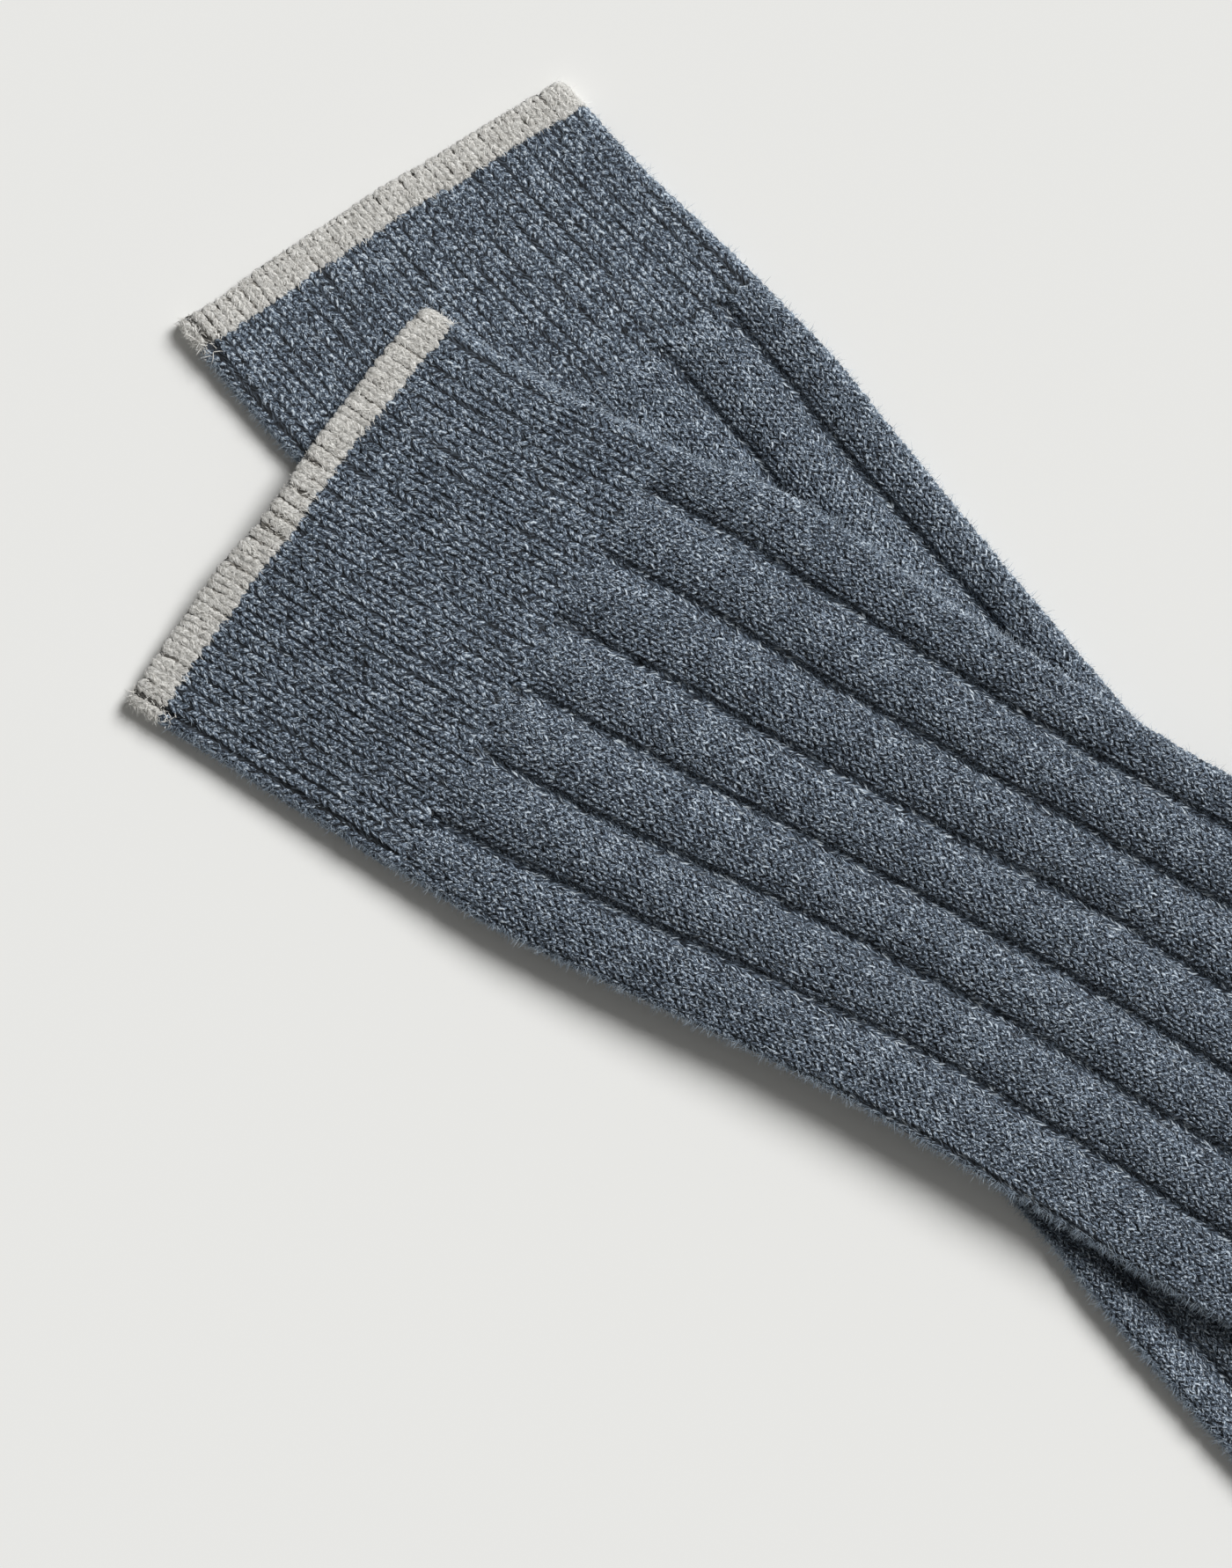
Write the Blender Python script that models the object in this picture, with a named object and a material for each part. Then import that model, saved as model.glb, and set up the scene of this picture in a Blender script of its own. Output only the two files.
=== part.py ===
"""A pair of long ribbed knit socks, laid flat, one crossed over the other.

Each sock is knit as one tube: a pale welt, a cuff in 1 by 1 rib, a leg in wide
rib, a foot with its heel pocket, and a closed toe.  Laid down it is pressed in
profile, so every section is a flat tube between two folds: the back fold, on
the heel's side, and the front fold, on the instep's side.

The layout is drawn in millimetres on the floor, +X to the right and +Y away,
with its zero where the two legs' middle lines cross.  The pair is then moved
so that the origin lies on the floor under its middle.
"""

import math
from collections import namedtuple
from functools import lru_cache

import bmesh
import bpy
from mathutils import Vector

MM = 0.001

# --- Cloth, in millimetres ----------------------------------------------------
UNDER_WALL = 1.4        # the layer that lies below
INNER_GAP = 0.5         # air between the two layers of the flat tube
RIB_WALL = 2.2          # the upper layer, at the crown of a rib
SIDE_WALL = 1.6         # the cloth as it turns round a fold
SEAM_GAP = 0.3          # between two stretches of the same tube
CROWN = UNDER_WALL + INNER_GAP + RIB_WALL
FOLD_HEIGHT = 0.45 * CROWN
FOLD_ROUND = 2.2        # the fold's rounding, seen from above
FOLD_ROUND_BELOW = 1.4
FOLD_STEP = 0.6
SWELL = 1.29            # the wide rib is this much thicker than the cuff
SWELL_LENGTH = 24.0     # and reaches that thickness over this length of the leg

# --- Knit ---------------------------------------------------------------------
CUFF_COLUMNS = 29       # whole knit columns of the 1 by 1 rib on one face
CUFF_RELIEF = 0.5
CUFF_FROM_FOLD = 2.2    # the first and last valley of the 1 by 1 rib
GROOVES = 6             # purl wales between the wide ribs on one face
GROOVE_DEPTH = 1.1
RIB_PUFF = 4.0          # how flat a rib's crown is
RIB_PLACES = (0.0, 0.13, 0.32, 0.5, 0.68, 0.87)
BEFORE_FIRST_GROOVE = (0.38, 0.13)
AFTER_LAST_GROOVE = (0.0, 0.13, 0.28)
GROOVE_START = 9.0      # a groove reaches its depth over this length
SOLE_GROOVES = 3        # grooves nearest the back fold end above the heel
SOLE_FADE = 30.0

# --- Welt and the pressed crease beside the front fold ---------------------------
WELT_LENGTH = 5.5
WELT_EXTRA = 0.15
WELT_EDGE_DROP = 0.7
BOW_END = 60.0          # rows of the knit are straight again this far down
CREASE_FROM_FOLD = 3.0
CREASE_DEPTH = 1.0
CREASE_WIDTH = 0.9
CREASE_ROLL = 1.7       # crown of the roll between the crease and the fold
CREASE_END = 25.0       # it fades out over this length of the toe

# --- Heel, foot and toe ---------------------------------------------------------
ANKLE = 288.0           # from the welt's edge to the front of the ankle
FOOT_TURN = math.radians(62)
INSTEP_RADIUS = 26.0
HEEL_BULGE = 15.0
TURN_LENGTH = 70.0
FOOT_LENGTH = 134.0     # from the ankle's turn to the toe's first row
TOE_LENGTH = 48.0
TOE_START = ANKLE + TURN_LENGTH + FOOT_LENGTH
TOE_POWER = 2.3
TOE_TIP_WALL = 3.0
TOE_THINNING = 0.5      # share of its height that the toe loses at its tip
INSTEP_TAPER = 90.0     # the instep comes down to the foot over this length

# --- Lay ------------------------------------------------------------------------
LIFT_GAP = 0.4          # air between the two socks
LIFT_REACH = 1.0        # the top sock keeps its height this far past the other's fold
LIFT_FALL = 58.0        # and comes down to the floor over this length

# A row is a place down the leg.  From the leg's middle line it gives the distance
# to the back fold and the front fold, then to the grooves nearest them, and how
# far the row's back end is ahead of its front end.
Row = namedtuple("Row", "along back front back_groove front_groove skew")

TOP_LEG = (
    Row(0, 44.5, 44.0, 35.4, 35.2, 12.0),
    Row(20, 43.2, 44.9, 35.4, 35.2, 9.5),
    Row(40, 43.6, 45.9, 35.4, 35.2, 7.0),
    Row(60, 44.8, 46.7, 35.4, 35.2, 4.5),
    Row(75, 47.0, 46.9, 35.5, 34.7, 2.5),
    Row(90, 46.9, 45.9, 34.8, 33.5, 1.0),
    Row(105, 45.2, 44.8, 34.1, 31.8, 0.0),
    Row(120, 44.2, 43.6, 33.6, 30.7, 0.0),
    Row(140, 43.3, 42.6, 33.0, 29.2, 0.0),
    Row(160, 42.3, 42.6, 33.2, 28.6, 0.0),
    Row(180, 42.3, 42.9, 33.8, 29.4, 0.0),
    Row(215, 42.3, 44.0, 33.8, 31.0, 0.0),
    Row(250, 41.6, 43.0, 33.4, 32.0, 0.0),
    Row(ANKLE, 41.0, 41.0, 33.0, 32.5, 0.0),
)

UNDER_LEG = (
    Row(0, 40.0, 40.6, 33.3, 34.8, 14.7),
    Row(20, 39.9, 41.6, 33.3, 34.8, 15.0),
    Row(45, 41.3, 41.6, 33.3, 34.8, 15.0),
    Row(70, 41.9, 41.4, 32.5, 34.6, 12.0),
    Row(90, 40.7, 41.2, 31.3, 34.2, 8.0),
    Row(120, 39.0, 40.6, 30.5, 33.6, 3.0),
    Row(150, 37.6, 39.8, 30.0, 33.0, 0.0),
    Row(180, 36.6, 39.2, 29.5, 32.5, 0.0),
    Row(215, 36.6, 38.4, 29.4, 31.5, 0.0),
    Row(240, 36.8, 40.0, 29.4, 32.0, 0.0),
    Row(270, 37.4, 40.8, 29.8, 32.5, 0.0),
    Row(ANKLE, 38.5, 40.5, 30.8, 32.5, 0.0),
)

# crossing: from the welt's edge down to where the middle lines cross
# slant: the leg's direction below +X, in degrees
# bow: how far the welt's edge bows out between its corners
# foot_width: the flat foot's width at its ball
Sock = namedtuple("Sock", "name crossing slant cuff rows bow foot_width")

TOP_SOCK = Sock("top_sock", 166.0, 29.5, 52.0, TOP_LEG, 1.8, 76.0)
UNDER_SOCK = Sock("under_sock", 186.9, 47.0, 49.5, UNDER_LEG, 0.9, 73.0)

# --- Yarn colours, as linear red, green and blue ------------------------------------
PALE_YARN = (0.56, 0.55, 0.52)
BLUE_CUFF_YARN = (0.115, 0.138, 0.170)
BLUE_RIB_YARN = (0.105, 0.128, 0.160)
BLUE_PLAIN_YARN = (0.100, 0.122, 0.152)
WOOL_ROUGHNESS = 0.95

# --- Steps of the mesh ------------------------------------------------------------
WELT_STOPS = (0.0, 0.9, 4.3)
CUFF_STEP = 11.0
LEG_STEP = 10.0
TURN_STEPS = 8
FOOT_STEP = 17.0
TOE_STOPS = (0.0, 0.3, 0.55, 0.75, 0.89, 0.965, 0.993)
WELT_PLACES = 24
TOE_PLACES = 16
UNDER_PLACES = 12
INNER_PLACES = 12
OUTLINE_STEP = 6.0


# --- Small helpers ------------------------------------------------------------------
def smooth_step(value):
    """Go from 0 to 1 with a soft start and a soft end."""
    clamped = min(max(value, 0.0), 1.0)
    return clamped * clamped * (3.0 - 2.0 * clamped)


def slope(rows, column, index):
    """The slope of a table's column at one of its rows."""
    low = rows[max(index - 1, 0)]
    high = rows[min(index + 1, len(rows) - 1)]
    rise = getattr(high, column) - getattr(low, column)
    return rise / (high.along - low.along)


def smooth_read(rows, column, along):
    """Read a table's column between its rows, on a curve with no corners."""
    index = 0
    while index < len(rows) - 2 and along > rows[index + 1].along:
        index += 1
    start = rows[index]
    end = rows[index + 1]
    run = end.along - start.along
    t = min(max((along - start.along) / run, 0.0), 1.0)
    from_start = (1.0 + 2.0 * t) * (1.0 - t) ** 2 * getattr(start, column)
    from_end = t * t * (3.0 - 2.0 * t) * getattr(end, column)
    tilt_start = t * (1.0 - t) ** 2 * run * slope(rows, column, index)
    tilt_end = t * t * (t - 1.0) * run * slope(rows, column, index + 1)
    return from_start + from_end + tilt_start + tilt_end


def evenly(start, end, step):
    """Stops from start to end, at most about a step apart."""
    count = max(1, round((end - start) / step))
    return [start + (end - start) * k / count for k in range(count + 1)]


# --- The flat outline of a sock --------------------------------------------------------
def directions(sock, turn=0.0):
    """Unit vectors along the sock and towards its front fold, turned into the foot."""
    angle = math.radians(sock.slant) + turn
    ahead = Vector((math.cos(angle), -math.sin(angle)))
    to_front = Vector((-math.sin(angle), -math.cos(angle)))
    return ahead, to_front


def leg_folds(sock, along):
    """The back and front fold at a place down the leg."""
    ahead, to_front = directions(sock)
    middle = ahead * (along - sock.crossing)
    skew = ahead * (0.5 * smooth_read(sock.rows, "skew", along))
    back = middle + skew - to_front * smooth_read(sock.rows, "back", along)
    front = middle - skew + to_front * smooth_read(sock.rows, "front", along)
    return back, front


def ankle_width(sock):
    """The leg's width where the foot starts to turn."""
    return sock.rows[-1].back + sock.rows[-1].front


def turn_centre(sock):
    """The point in front of the ankle that the foot turns about."""
    ahead, to_front = directions(sock)
    reach = sock.rows[-1].front + INSTEP_RADIUS
    return ahead * (ANKLE - sock.crossing) + to_front * reach


def turn_folds(sock, share):
    """The folds on a row of the heel, which fans out from the ankle's front."""
    _, to_front = directions(sock, FOOT_TURN * share)
    centre = turn_centre(sock)
    bulge = HEEL_BULGE * math.sin(math.pi * share) ** 1.5
    front = centre - to_front * INSTEP_RADIUS
    back = centre - to_front * (INSTEP_RADIUS + ankle_width(sock) + bulge)
    return back, front


def foot_folds(sock, past_turn):
    """The folds at a place along the foot, with the toe rounding off at its end."""
    ahead, to_front = directions(sock, FOOT_TURN)
    sole = turn_centre(sock) - to_front * (INSTEP_RADIUS + ankle_width(sock))
    taper = smooth_step(past_turn / INSTEP_TAPER)
    width = ankle_width(sock) + (sock.foot_width - ankle_width(sock)) * taper
    into_toe = min(max((past_turn - FOOT_LENGTH) / TOE_LENGTH, 0.0), 1.0)
    rounding = (1.0 - into_toe ** TOE_POWER) ** (1.0 / TOE_POWER)
    middle = sole + ahead * past_turn + to_front * (0.5 * width)
    half = to_front * (0.5 * width * rounding)
    return middle - half, middle + half


def folds(sock, along):
    """The back and front fold at any place, from the welt's edge to the toe's tip."""
    if along <= ANKLE:
        return leg_folds(sock, along)
    if along <= ANKLE + TURN_LENGTH:
        return turn_folds(sock, (along - ANKLE) / TURN_LENGTH)
    return foot_folds(sock, along - ANKLE - TURN_LENGTH)


def sock_length():
    """From the welt's edge to the toe's tip, along the middle."""
    return TOE_START + TOE_LENGTH


@lru_cache(maxsize=None)
def outline(sock):
    """The whole sock's outline on the floor, as a closed ring of points."""
    pairs = [folds(sock, stop) for stop in evenly(0.0, sock_length(), OUTLINE_STEP)]
    backs = [back for back, _ in pairs]
    fronts = [front for _, front in pairs[:-1]]
    return backs + fronts[::-1]


# --- How the top sock lies over the other -------------------------------------------------
def side_distance(point, start, end):
    """Distance from a point to one side of an outline, and whether a ray crosses it."""
    side = end - start
    share = (point - start).dot(side) / side.length_squared
    nearest = start + side * min(max(share, 0.0), 1.0)
    crosses = False
    if (start.y > point.y) != (end.y > point.y):
        crosses = point.x < start.x + side.x * (point.y - start.y) / side.y
    return (point - nearest).length, crosses


def distance_outside(ring, point):
    """How far a point lies outside a closed outline, below 0 inside it."""
    nearest = math.inf
    inside = False
    for start, end in zip(ring, ring[1:] + ring[:1]):
        distance, crosses = side_distance(point, start, end)
        nearest = min(nearest, distance)
        inside = inside != crosses
    return -nearest if inside else nearest


def swell(sock, along):
    """How much thicker the cloth is here than at the cuff."""
    return 1.0 + (SWELL - 1.0) * smooth_step((along - sock.cuff) / SWELL_LENGTH)


def lift(below, point):
    """Height of the cloth's underside: over the other sock, then down to the floor."""
    if below is None:
        return 0.0
    past = distance_outside(outline(below), point) - LIFT_REACH
    ahead, _ = directions(below)
    height = CROWN * swell(below, below.crossing + point.dot(ahead)) + WELT_EXTRA + LIFT_GAP
    return height * (1.0 - smooth_step(past / LIFT_FALL))


# --- Sections: places across the top, each with its height over the underside ----------------
def fold_rounding(from_fold, radius):
    """How much of its height the cloth has, this far in from a fold."""
    share = min(from_fold / radius, 1.0)
    return math.sqrt(1.0 - (1.0 - share) ** 2)


def crease(across, width, depth):
    """How deep the pressed crease beside the front fold is here."""
    offset = (across - (width - CREASE_FROM_FOLD)) / CREASE_WIDTH
    return depth * math.exp(-offset * offset)


def top_height(across, width, relief, crease_depth=CREASE_DEPTH):
    """Height of the upper face over the underside, less the knit's relief."""
    from_fold = min(across, width - across)
    crown = CROWN - relief - crease(across, width, crease_depth)
    return FOLD_HEIGHT + (crown - FOLD_HEIGHT) * fold_rounding(from_fold, FOLD_ROUND)


def rib_relief(share, depth):
    """Depth below a wide rib's crown, a share of the way from groove to groove."""
    return depth * abs(2.0 * share - 1.0) ** RIB_PUFF


def groove_depth(sock, groove, along):
    """A groove's depth: it starts at the cuff, and on the sole's side ends at the heel."""
    depth = GROOVE_DEPTH * smooth_step((along - sock.cuff) / GROOVE_START)
    if groove < SOLE_GROOVES:
        depth *= 1.0 - smooth_step((along - ANKLE + SOLE_FADE) / SOLE_FADE)
    return depth * smooth_step((TOE_START - along) / GROOVE_START)


def groove_spread(sock, along, width):
    """Where the first groove lies on a row, and the step to the next one."""
    place = min(along, ANKLE)
    back = smooth_read(sock.rows, "back", place)
    front = smooth_read(sock.rows, "front", place)
    first = back - smooth_read(sock.rows, "back_groove", place)
    last = back + smooth_read(sock.rows, "front_groove", place)
    stretched = width / (back + front)
    return first * stretched, (last - first) * stretched / (GROOVES - 1)


def wide_rib_section(sock, along, width):
    """Leg and foot: the side places, then each groove and the rib after it."""
    first, pitch = groove_spread(sock, along, width)
    places = [(0.0, 0.0), (FOLD_STEP, 0.0), (FOLD_ROUND, 0.0)]
    for share in BEFORE_FIRST_GROOVE:
        relief = rib_relief(share, groove_depth(sock, 0, along))
        places.append((first - share * pitch, relief))
    for groove in range(GROOVES):
        is_last = groove == GROOVES - 1
        for share in AFTER_LAST_GROOVE if is_last else RIB_PLACES:
            nearest = groove if share < 0.5 or is_last else groove + 1
            relief = rib_relief(share, groove_depth(sock, nearest, along))
            places.append((first + (groove + share) * pitch, relief))
    for from_fold in (CREASE_FROM_FOLD, CREASE_ROLL, FOLD_STEP, 0.0):
        places.append((width - from_fold, 0.0))
    return [(across, top_height(across, width, relief)) for across, relief in places]


def cuff_section(_sock, _along, width):
    """Cuff: a valley, then a crest and a valley for each knit column."""
    reach = width - 2.0 * CUFF_FROM_FOLD
    count = 2 * CUFF_COLUMNS
    places = [(0.0, 0.0), (FOLD_STEP, 0.0)]
    for k in range(count + 1):
        places.append((CUFF_FROM_FOLD + reach * k / count, CUFF_RELIEF * (1 - k % 2)))
    places += [(width - FOLD_STEP, 0.0), (width, 0.0)]
    return [(across, top_height(across, width, relief)) for across, relief in places]


def plain_places(width, count):
    """Places across a smooth upper face, closer together at its folds."""
    reach = width - CREASE_FROM_FOLD - FOLD_ROUND
    places = [0.0, FOLD_STEP]
    places += [FOLD_ROUND + reach * k / count for k in range(count + 1)]
    return places + [width - CREASE_ROLL, width - FOLD_STEP, width]


def welt_section(_sock, along, width):
    """Welt: a touch thicker than the cuff, rounded off at the sock's mouth."""
    drop = WELT_EDGE_DROP * (1.0 - min(along / WELT_STOPS[1], 1.0))
    relief = drop - WELT_EXTRA
    places = plain_places(width, WELT_PLACES)
    return [(across, top_height(across, width, relief)) for across in places]


def toe_section(sock, along, width):
    """Toe: plain, with no crease, thinning to a soft edge as it closes."""
    thinning = 1.0 - TOE_THINNING * (1.0 - math.sqrt(min(width / sock.foot_width, 1.0)))
    section = []
    for across in plain_places(width, TOE_PLACES):
        depth = CREASE_DEPTH * smooth_step((TOE_START + CREASE_END - along) / CREASE_END)
        section.append((across, thinning * top_height(across, width, 0.0, depth)))
    return section


def under_section(width):
    """The underside, from the front fold to the back fold: flat between roundings."""
    reach = width - 2.0 * FOLD_ROUND_BELOW
    places = [width - FOLD_STEP]
    places += [width - FOLD_ROUND_BELOW - reach * k / UNDER_PLACES for k in range(UNDER_PLACES + 1)]
    places.append(FOLD_STEP)
    section = []
    for across in places:
        from_fold = min(across, width - across)
        height = FOLD_HEIGHT * (1.0 - fold_rounding(from_fold, FOLD_ROUND_BELOW))
        section.append((across, height))
    return section


def inner_section(width, upper):
    """One face of the hollow between the two layers, plain and almost shut."""
    middle = UNDER_WALL + 0.5 * INNER_GAP
    half_gap = 0.5 * INNER_GAP if upper else -0.5 * INNER_GAP
    reach = width - 2.0 * SIDE_WALL
    section = []
    for k in range(INNER_PLACES + 1):
        across = SIDE_WALL + reach * k / INNER_PLACES
        is_end = k in (0, INNER_PLACES)
        section.append((across, middle if is_end else middle + half_gap))
    return section


# --- Rings: a section set down on the floor plan -----------------------------------------------
def bowed(sock, along, across_share):
    """How far a row bows towards the sock's mouth, at a share of the way across."""
    ahead, _ = directions(sock)
    fade = 1.0 - smooth_step(along / BOW_END)
    return -ahead * (sock.bow * fade * 4.0 * across_share * (1.0 - across_share))


def set_down(sock, below, along, upper, lower):
    """Turn the two faces of a section into a ring of (share of the way round, point)."""
    back, front = folds(sock, along)
    width = (front - back).length
    ring = []
    for is_upper, section in ((True, upper), (False, lower)):
        for across, height in section:
            spot = back.lerp(front, across / width) + bowed(sock, along, across / width)
            share = 0.5 * across / width if is_upper else 1.0 - 0.5 * across / width
            height *= swell(sock, along)
            point = Vector((spot.x, spot.y, lift(below, spot) + height))
            ring.append((share, point * MM))
    return ring


def outer_ring(sock, below, along, section_of):
    """The skin's ring at a place along the sock."""
    back, front = folds(sock, along)
    width = (front - back).length
    return set_down(sock, below, along, section_of(sock, along, width), under_section(width))


def inner_ring(sock, below, along):
    """The hollow's ring at a place along the sock."""
    back, front = folds(sock, along)
    width = (front - back).length
    upper = inner_section(width, True)
    lower = inner_section(width, False)[-2:0:-1]
    return set_down(sock, below, along, upper, lower)


# --- Meshes ----------------------------------------------------------------------------------------
def add_ring(mesh, ring):
    """Add a ring's points to the mesh, keeping each one's share of the way round."""
    return [(share, mesh.verts.new(point)) for share, point in ring]


def join_rings(mesh, one, other):
    """Join two rings of the same number of points with a band of quads."""
    count = len(one)
    for k in range(count):
        following = (k + 1) % count
        mesh.faces.new((one[k][1], one[following][1], other[following][1], other[k][1]))


def close_end(mesh, outer, inner):
    """Join the skin's end ring to the hollow's, which has fewer points."""
    i = 0
    j = 0
    while i < len(outer) or j < len(inner):
        outer_next = outer[i + 1][0] if i + 1 < len(outer) else 1.0
        inner_next = inner[j + 1][0] if j + 1 < len(inner) else 1.0
        outer_here = outer[i % len(outer)][1]
        inner_here = inner[j % len(inner)][1]
        if i < len(outer) and (j >= len(inner) or outer_next <= inner_next):
            mesh.faces.new((outer_here, outer[(i + 1) % len(outer)][1], inner_here))
            i += 1
        else:
            mesh.faces.new((outer_here, inner[(j + 1) % len(inner)][1], inner_here))
            j += 1


def close_tip(mesh, ring):
    """Close a ring with a fan of triangles about its middle."""
    points = [vert for _, vert in ring]
    middle = sum((vert.co for vert in points), Vector()) / len(points)
    centre = mesh.verts.new(middle)
    for k, vert in enumerate(points):
        mesh.faces.new((vert, points[(k + 1) % len(points)], centre))


def knit_tube(name, outer_rings, inner_rings, closed_tip, material):
    """Make one stretch of the tube: its skin, its hollow, and its two ends."""
    mesh = bmesh.new()
    skin = [add_ring(mesh, ring) for ring in outer_rings]
    hollow = [add_ring(mesh, ring) for ring in inner_rings]
    for rings in (skin, hollow):
        for one, other in zip(rings, rings[1:]):
            join_rings(mesh, one, other)
    close_end(mesh, skin[0], hollow[0])
    if closed_tip:
        close_tip(mesh, skin[-1])
        close_tip(mesh, hollow[-1])
    else:
        close_end(mesh, skin[-1], hollow[-1])
    bmesh.ops.recalc_face_normals(mesh, faces=mesh.faces)
    data = bpy.data.meshes.new(name)
    mesh.to_mesh(data)
    mesh.free()
    data.shade_smooth()
    data.materials.append(material)
    tube = bpy.data.objects.new(name, data)
    bpy.context.scene.collection.objects.link(tube)
    return tube


def stretch(sock, below, name, stops, section_of, material):
    """Make an open stretch of a sock between its first and last stop."""
    outer = [outer_ring(sock, below, stop, section_of) for stop in stops]
    inner = [inner_ring(sock, below, stop) for stop in stops]
    return knit_tube(f"{sock.name}_{name}", outer, inner, False, material)


def closed_toe(sock, below, material):
    """Make the toe, whose hollow ends a little before its tip."""
    start = TOE_START + SEAM_GAP
    reach = sock_length() - start
    outer_stops = [start + reach * share for share in TOE_STOPS]
    inner_stops = [stop for stop in outer_stops if stop < sock_length() - TOE_TIP_WALL]
    outer = [outer_ring(sock, below, stop, toe_section) for stop in outer_stops]
    inner = [inner_ring(sock, below, stop) for stop in inner_stops]
    return knit_tube(f"{sock.name}_toe", outer, inner, True, material)


# --- Materials --------------------------------------------------------------------------------------
def knit_material(name, colour):
    """A matt wool yarn."""
    material = bpy.data.materials.new(name)
    material.use_nodes = True
    shader = material.node_tree.nodes["Principled BSDF"]
    shader.inputs["Base Color"].default_value = (*colour, 1.0)
    shader.inputs["Roughness"].default_value = WOOL_ROUGHNESS
    shader.inputs["Metallic"].default_value = 0.0
    return material


# --- The pair -----------------------------------------------------------------------------------------
def build_sock(sock, below, materials):
    """Make a sock's five stretches, welt to toe."""
    welt_end = WELT_LENGTH - SEAM_GAP
    leg_start = sock.cuff + SEAM_GAP
    turn_end = ANKLE + TURN_LENGTH
    turn_stops = evenly(ANKLE, turn_end, TURN_LENGTH / TURN_STEPS)
    foot_stops = evenly(turn_end, TOE_START, FOOT_STEP)[1:]
    groove_stops = [leg_start, leg_start + 0.5 * GROOVE_START]
    leg_stops = groove_stops + evenly(leg_start + GROOVE_START, ANKLE - SEAM_GAP, LEG_STEP)
    cuff_stops = evenly(WELT_LENGTH, sock.cuff, CUFF_STEP)
    return [
        stretch(sock, below, "welt", (*WELT_STOPS, welt_end), welt_section, materials["welt"]),
        stretch(sock, below, "cuff", cuff_stops, cuff_section, materials["cuff"]),
        stretch(sock, below, "leg", leg_stops, wide_rib_section, materials["rib"]),
        stretch(sock, below, "foot", turn_stops + foot_stops, wide_rib_section, materials["rib"]),
        closed_toe(sock, below, materials["plain"]),
    ]


def centre_on_origin(tubes):
    """Hang the pieces from an empty that puts the origin under the pair's middle."""
    points = [vert.co for tube in tubes for vert in tube.data.vertices]
    middle_x = 0.5 * (min(point.x for point in points) + max(point.x for point in points))
    middle_y = 0.5 * (min(point.y for point in points) + max(point.y for point in points))
    layout = bpy.data.objects.new("layout", None)
    layout.location = (-middle_x, -middle_y, 0.0)
    bpy.context.scene.collection.objects.link(layout)
    for tube in tubes:
        tube.parent = layout


def clear_scene():
    """Remove what the file opened with."""
    for thing in list(bpy.data.objects):
        bpy.data.objects.remove(thing, do_unlink=True)


def main():
    """Build the under sock on the floor and the top sock over it."""
    clear_scene()
    materials = {
        "welt": knit_material("pale_welt_knit", PALE_YARN),
        "cuff": knit_material("blue_cuff_rib", BLUE_CUFF_YARN),
        "rib": knit_material("blue_wide_rib", BLUE_RIB_YARN),
        "plain": knit_material("blue_plain_knit", BLUE_PLAIN_YARN),
    }
    tubes = build_sock(UNDER_SOCK, None, materials)
    tubes += build_sock(TOP_SOCK, UNDER_SOCK, materials)
    centre_on_origin(tubes)
    bpy.context.view_layer.update()


main()
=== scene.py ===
# %% [markdown]
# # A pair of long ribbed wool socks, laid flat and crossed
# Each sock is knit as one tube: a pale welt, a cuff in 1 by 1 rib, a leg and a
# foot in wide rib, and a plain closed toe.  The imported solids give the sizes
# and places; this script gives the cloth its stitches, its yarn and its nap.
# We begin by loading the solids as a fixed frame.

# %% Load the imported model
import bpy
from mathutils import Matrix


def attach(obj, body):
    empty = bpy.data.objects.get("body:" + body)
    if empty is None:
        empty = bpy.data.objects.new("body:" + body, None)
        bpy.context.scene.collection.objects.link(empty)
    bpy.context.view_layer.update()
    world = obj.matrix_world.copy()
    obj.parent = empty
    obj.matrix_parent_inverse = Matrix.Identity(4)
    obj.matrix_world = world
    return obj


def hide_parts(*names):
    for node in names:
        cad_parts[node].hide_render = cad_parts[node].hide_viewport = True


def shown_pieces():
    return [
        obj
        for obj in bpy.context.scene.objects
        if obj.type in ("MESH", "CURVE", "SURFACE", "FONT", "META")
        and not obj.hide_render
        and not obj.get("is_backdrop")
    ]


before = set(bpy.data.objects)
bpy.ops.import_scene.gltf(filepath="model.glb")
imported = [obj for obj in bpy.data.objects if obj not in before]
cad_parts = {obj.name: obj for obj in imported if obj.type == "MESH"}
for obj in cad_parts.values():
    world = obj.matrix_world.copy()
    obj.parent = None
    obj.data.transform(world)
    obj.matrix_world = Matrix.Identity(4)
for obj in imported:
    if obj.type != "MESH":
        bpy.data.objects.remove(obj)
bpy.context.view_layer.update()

import math
from collections import namedtuple
from functools import partial

import bpy
import numpy as np
from mathutils import Vector

print("solids:", sorted(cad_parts))

# %% [markdown]
# ## The sizes of the cloth
# A visible piece must lie where its solid lies, so the script repeats the
# solids' own sizes, in millimetres.  A sock pressed flat is a tube between two
# folds: the back fold on the heel's side and the front fold on the instep's.

# %% Cloth sizes, in millimetres
MM = 0.001
UNDER_WALL = 1.4
INNER_GAP = 0.5
RIB_WALL = 2.2
SIDE_WALL = 1.6
CROWN = UNDER_WALL + INNER_GAP + RIB_WALL
FOLD_HEIGHT = 0.45 * CROWN
FOLD_ROUND = 2.2
FOLD_ROUND_BELOW = 1.4
SWELL = 1.29            # the wide rib is this much thicker than the cuff
SWELL_LENGTH = 24.0
WELT_LENGTH = 5.5
BOW_END = 60.0
GROOVES = 6
GROOVE_START = 3.4      # the stitches part sooner than the solid does
GROOVE_LEAD = 2.2       # and this far up in the last of the cuff
SOLE_GROOVES = 3
SOLE_FADE = 30.0
CREASE_FROM_FOLD = 2.2

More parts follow.
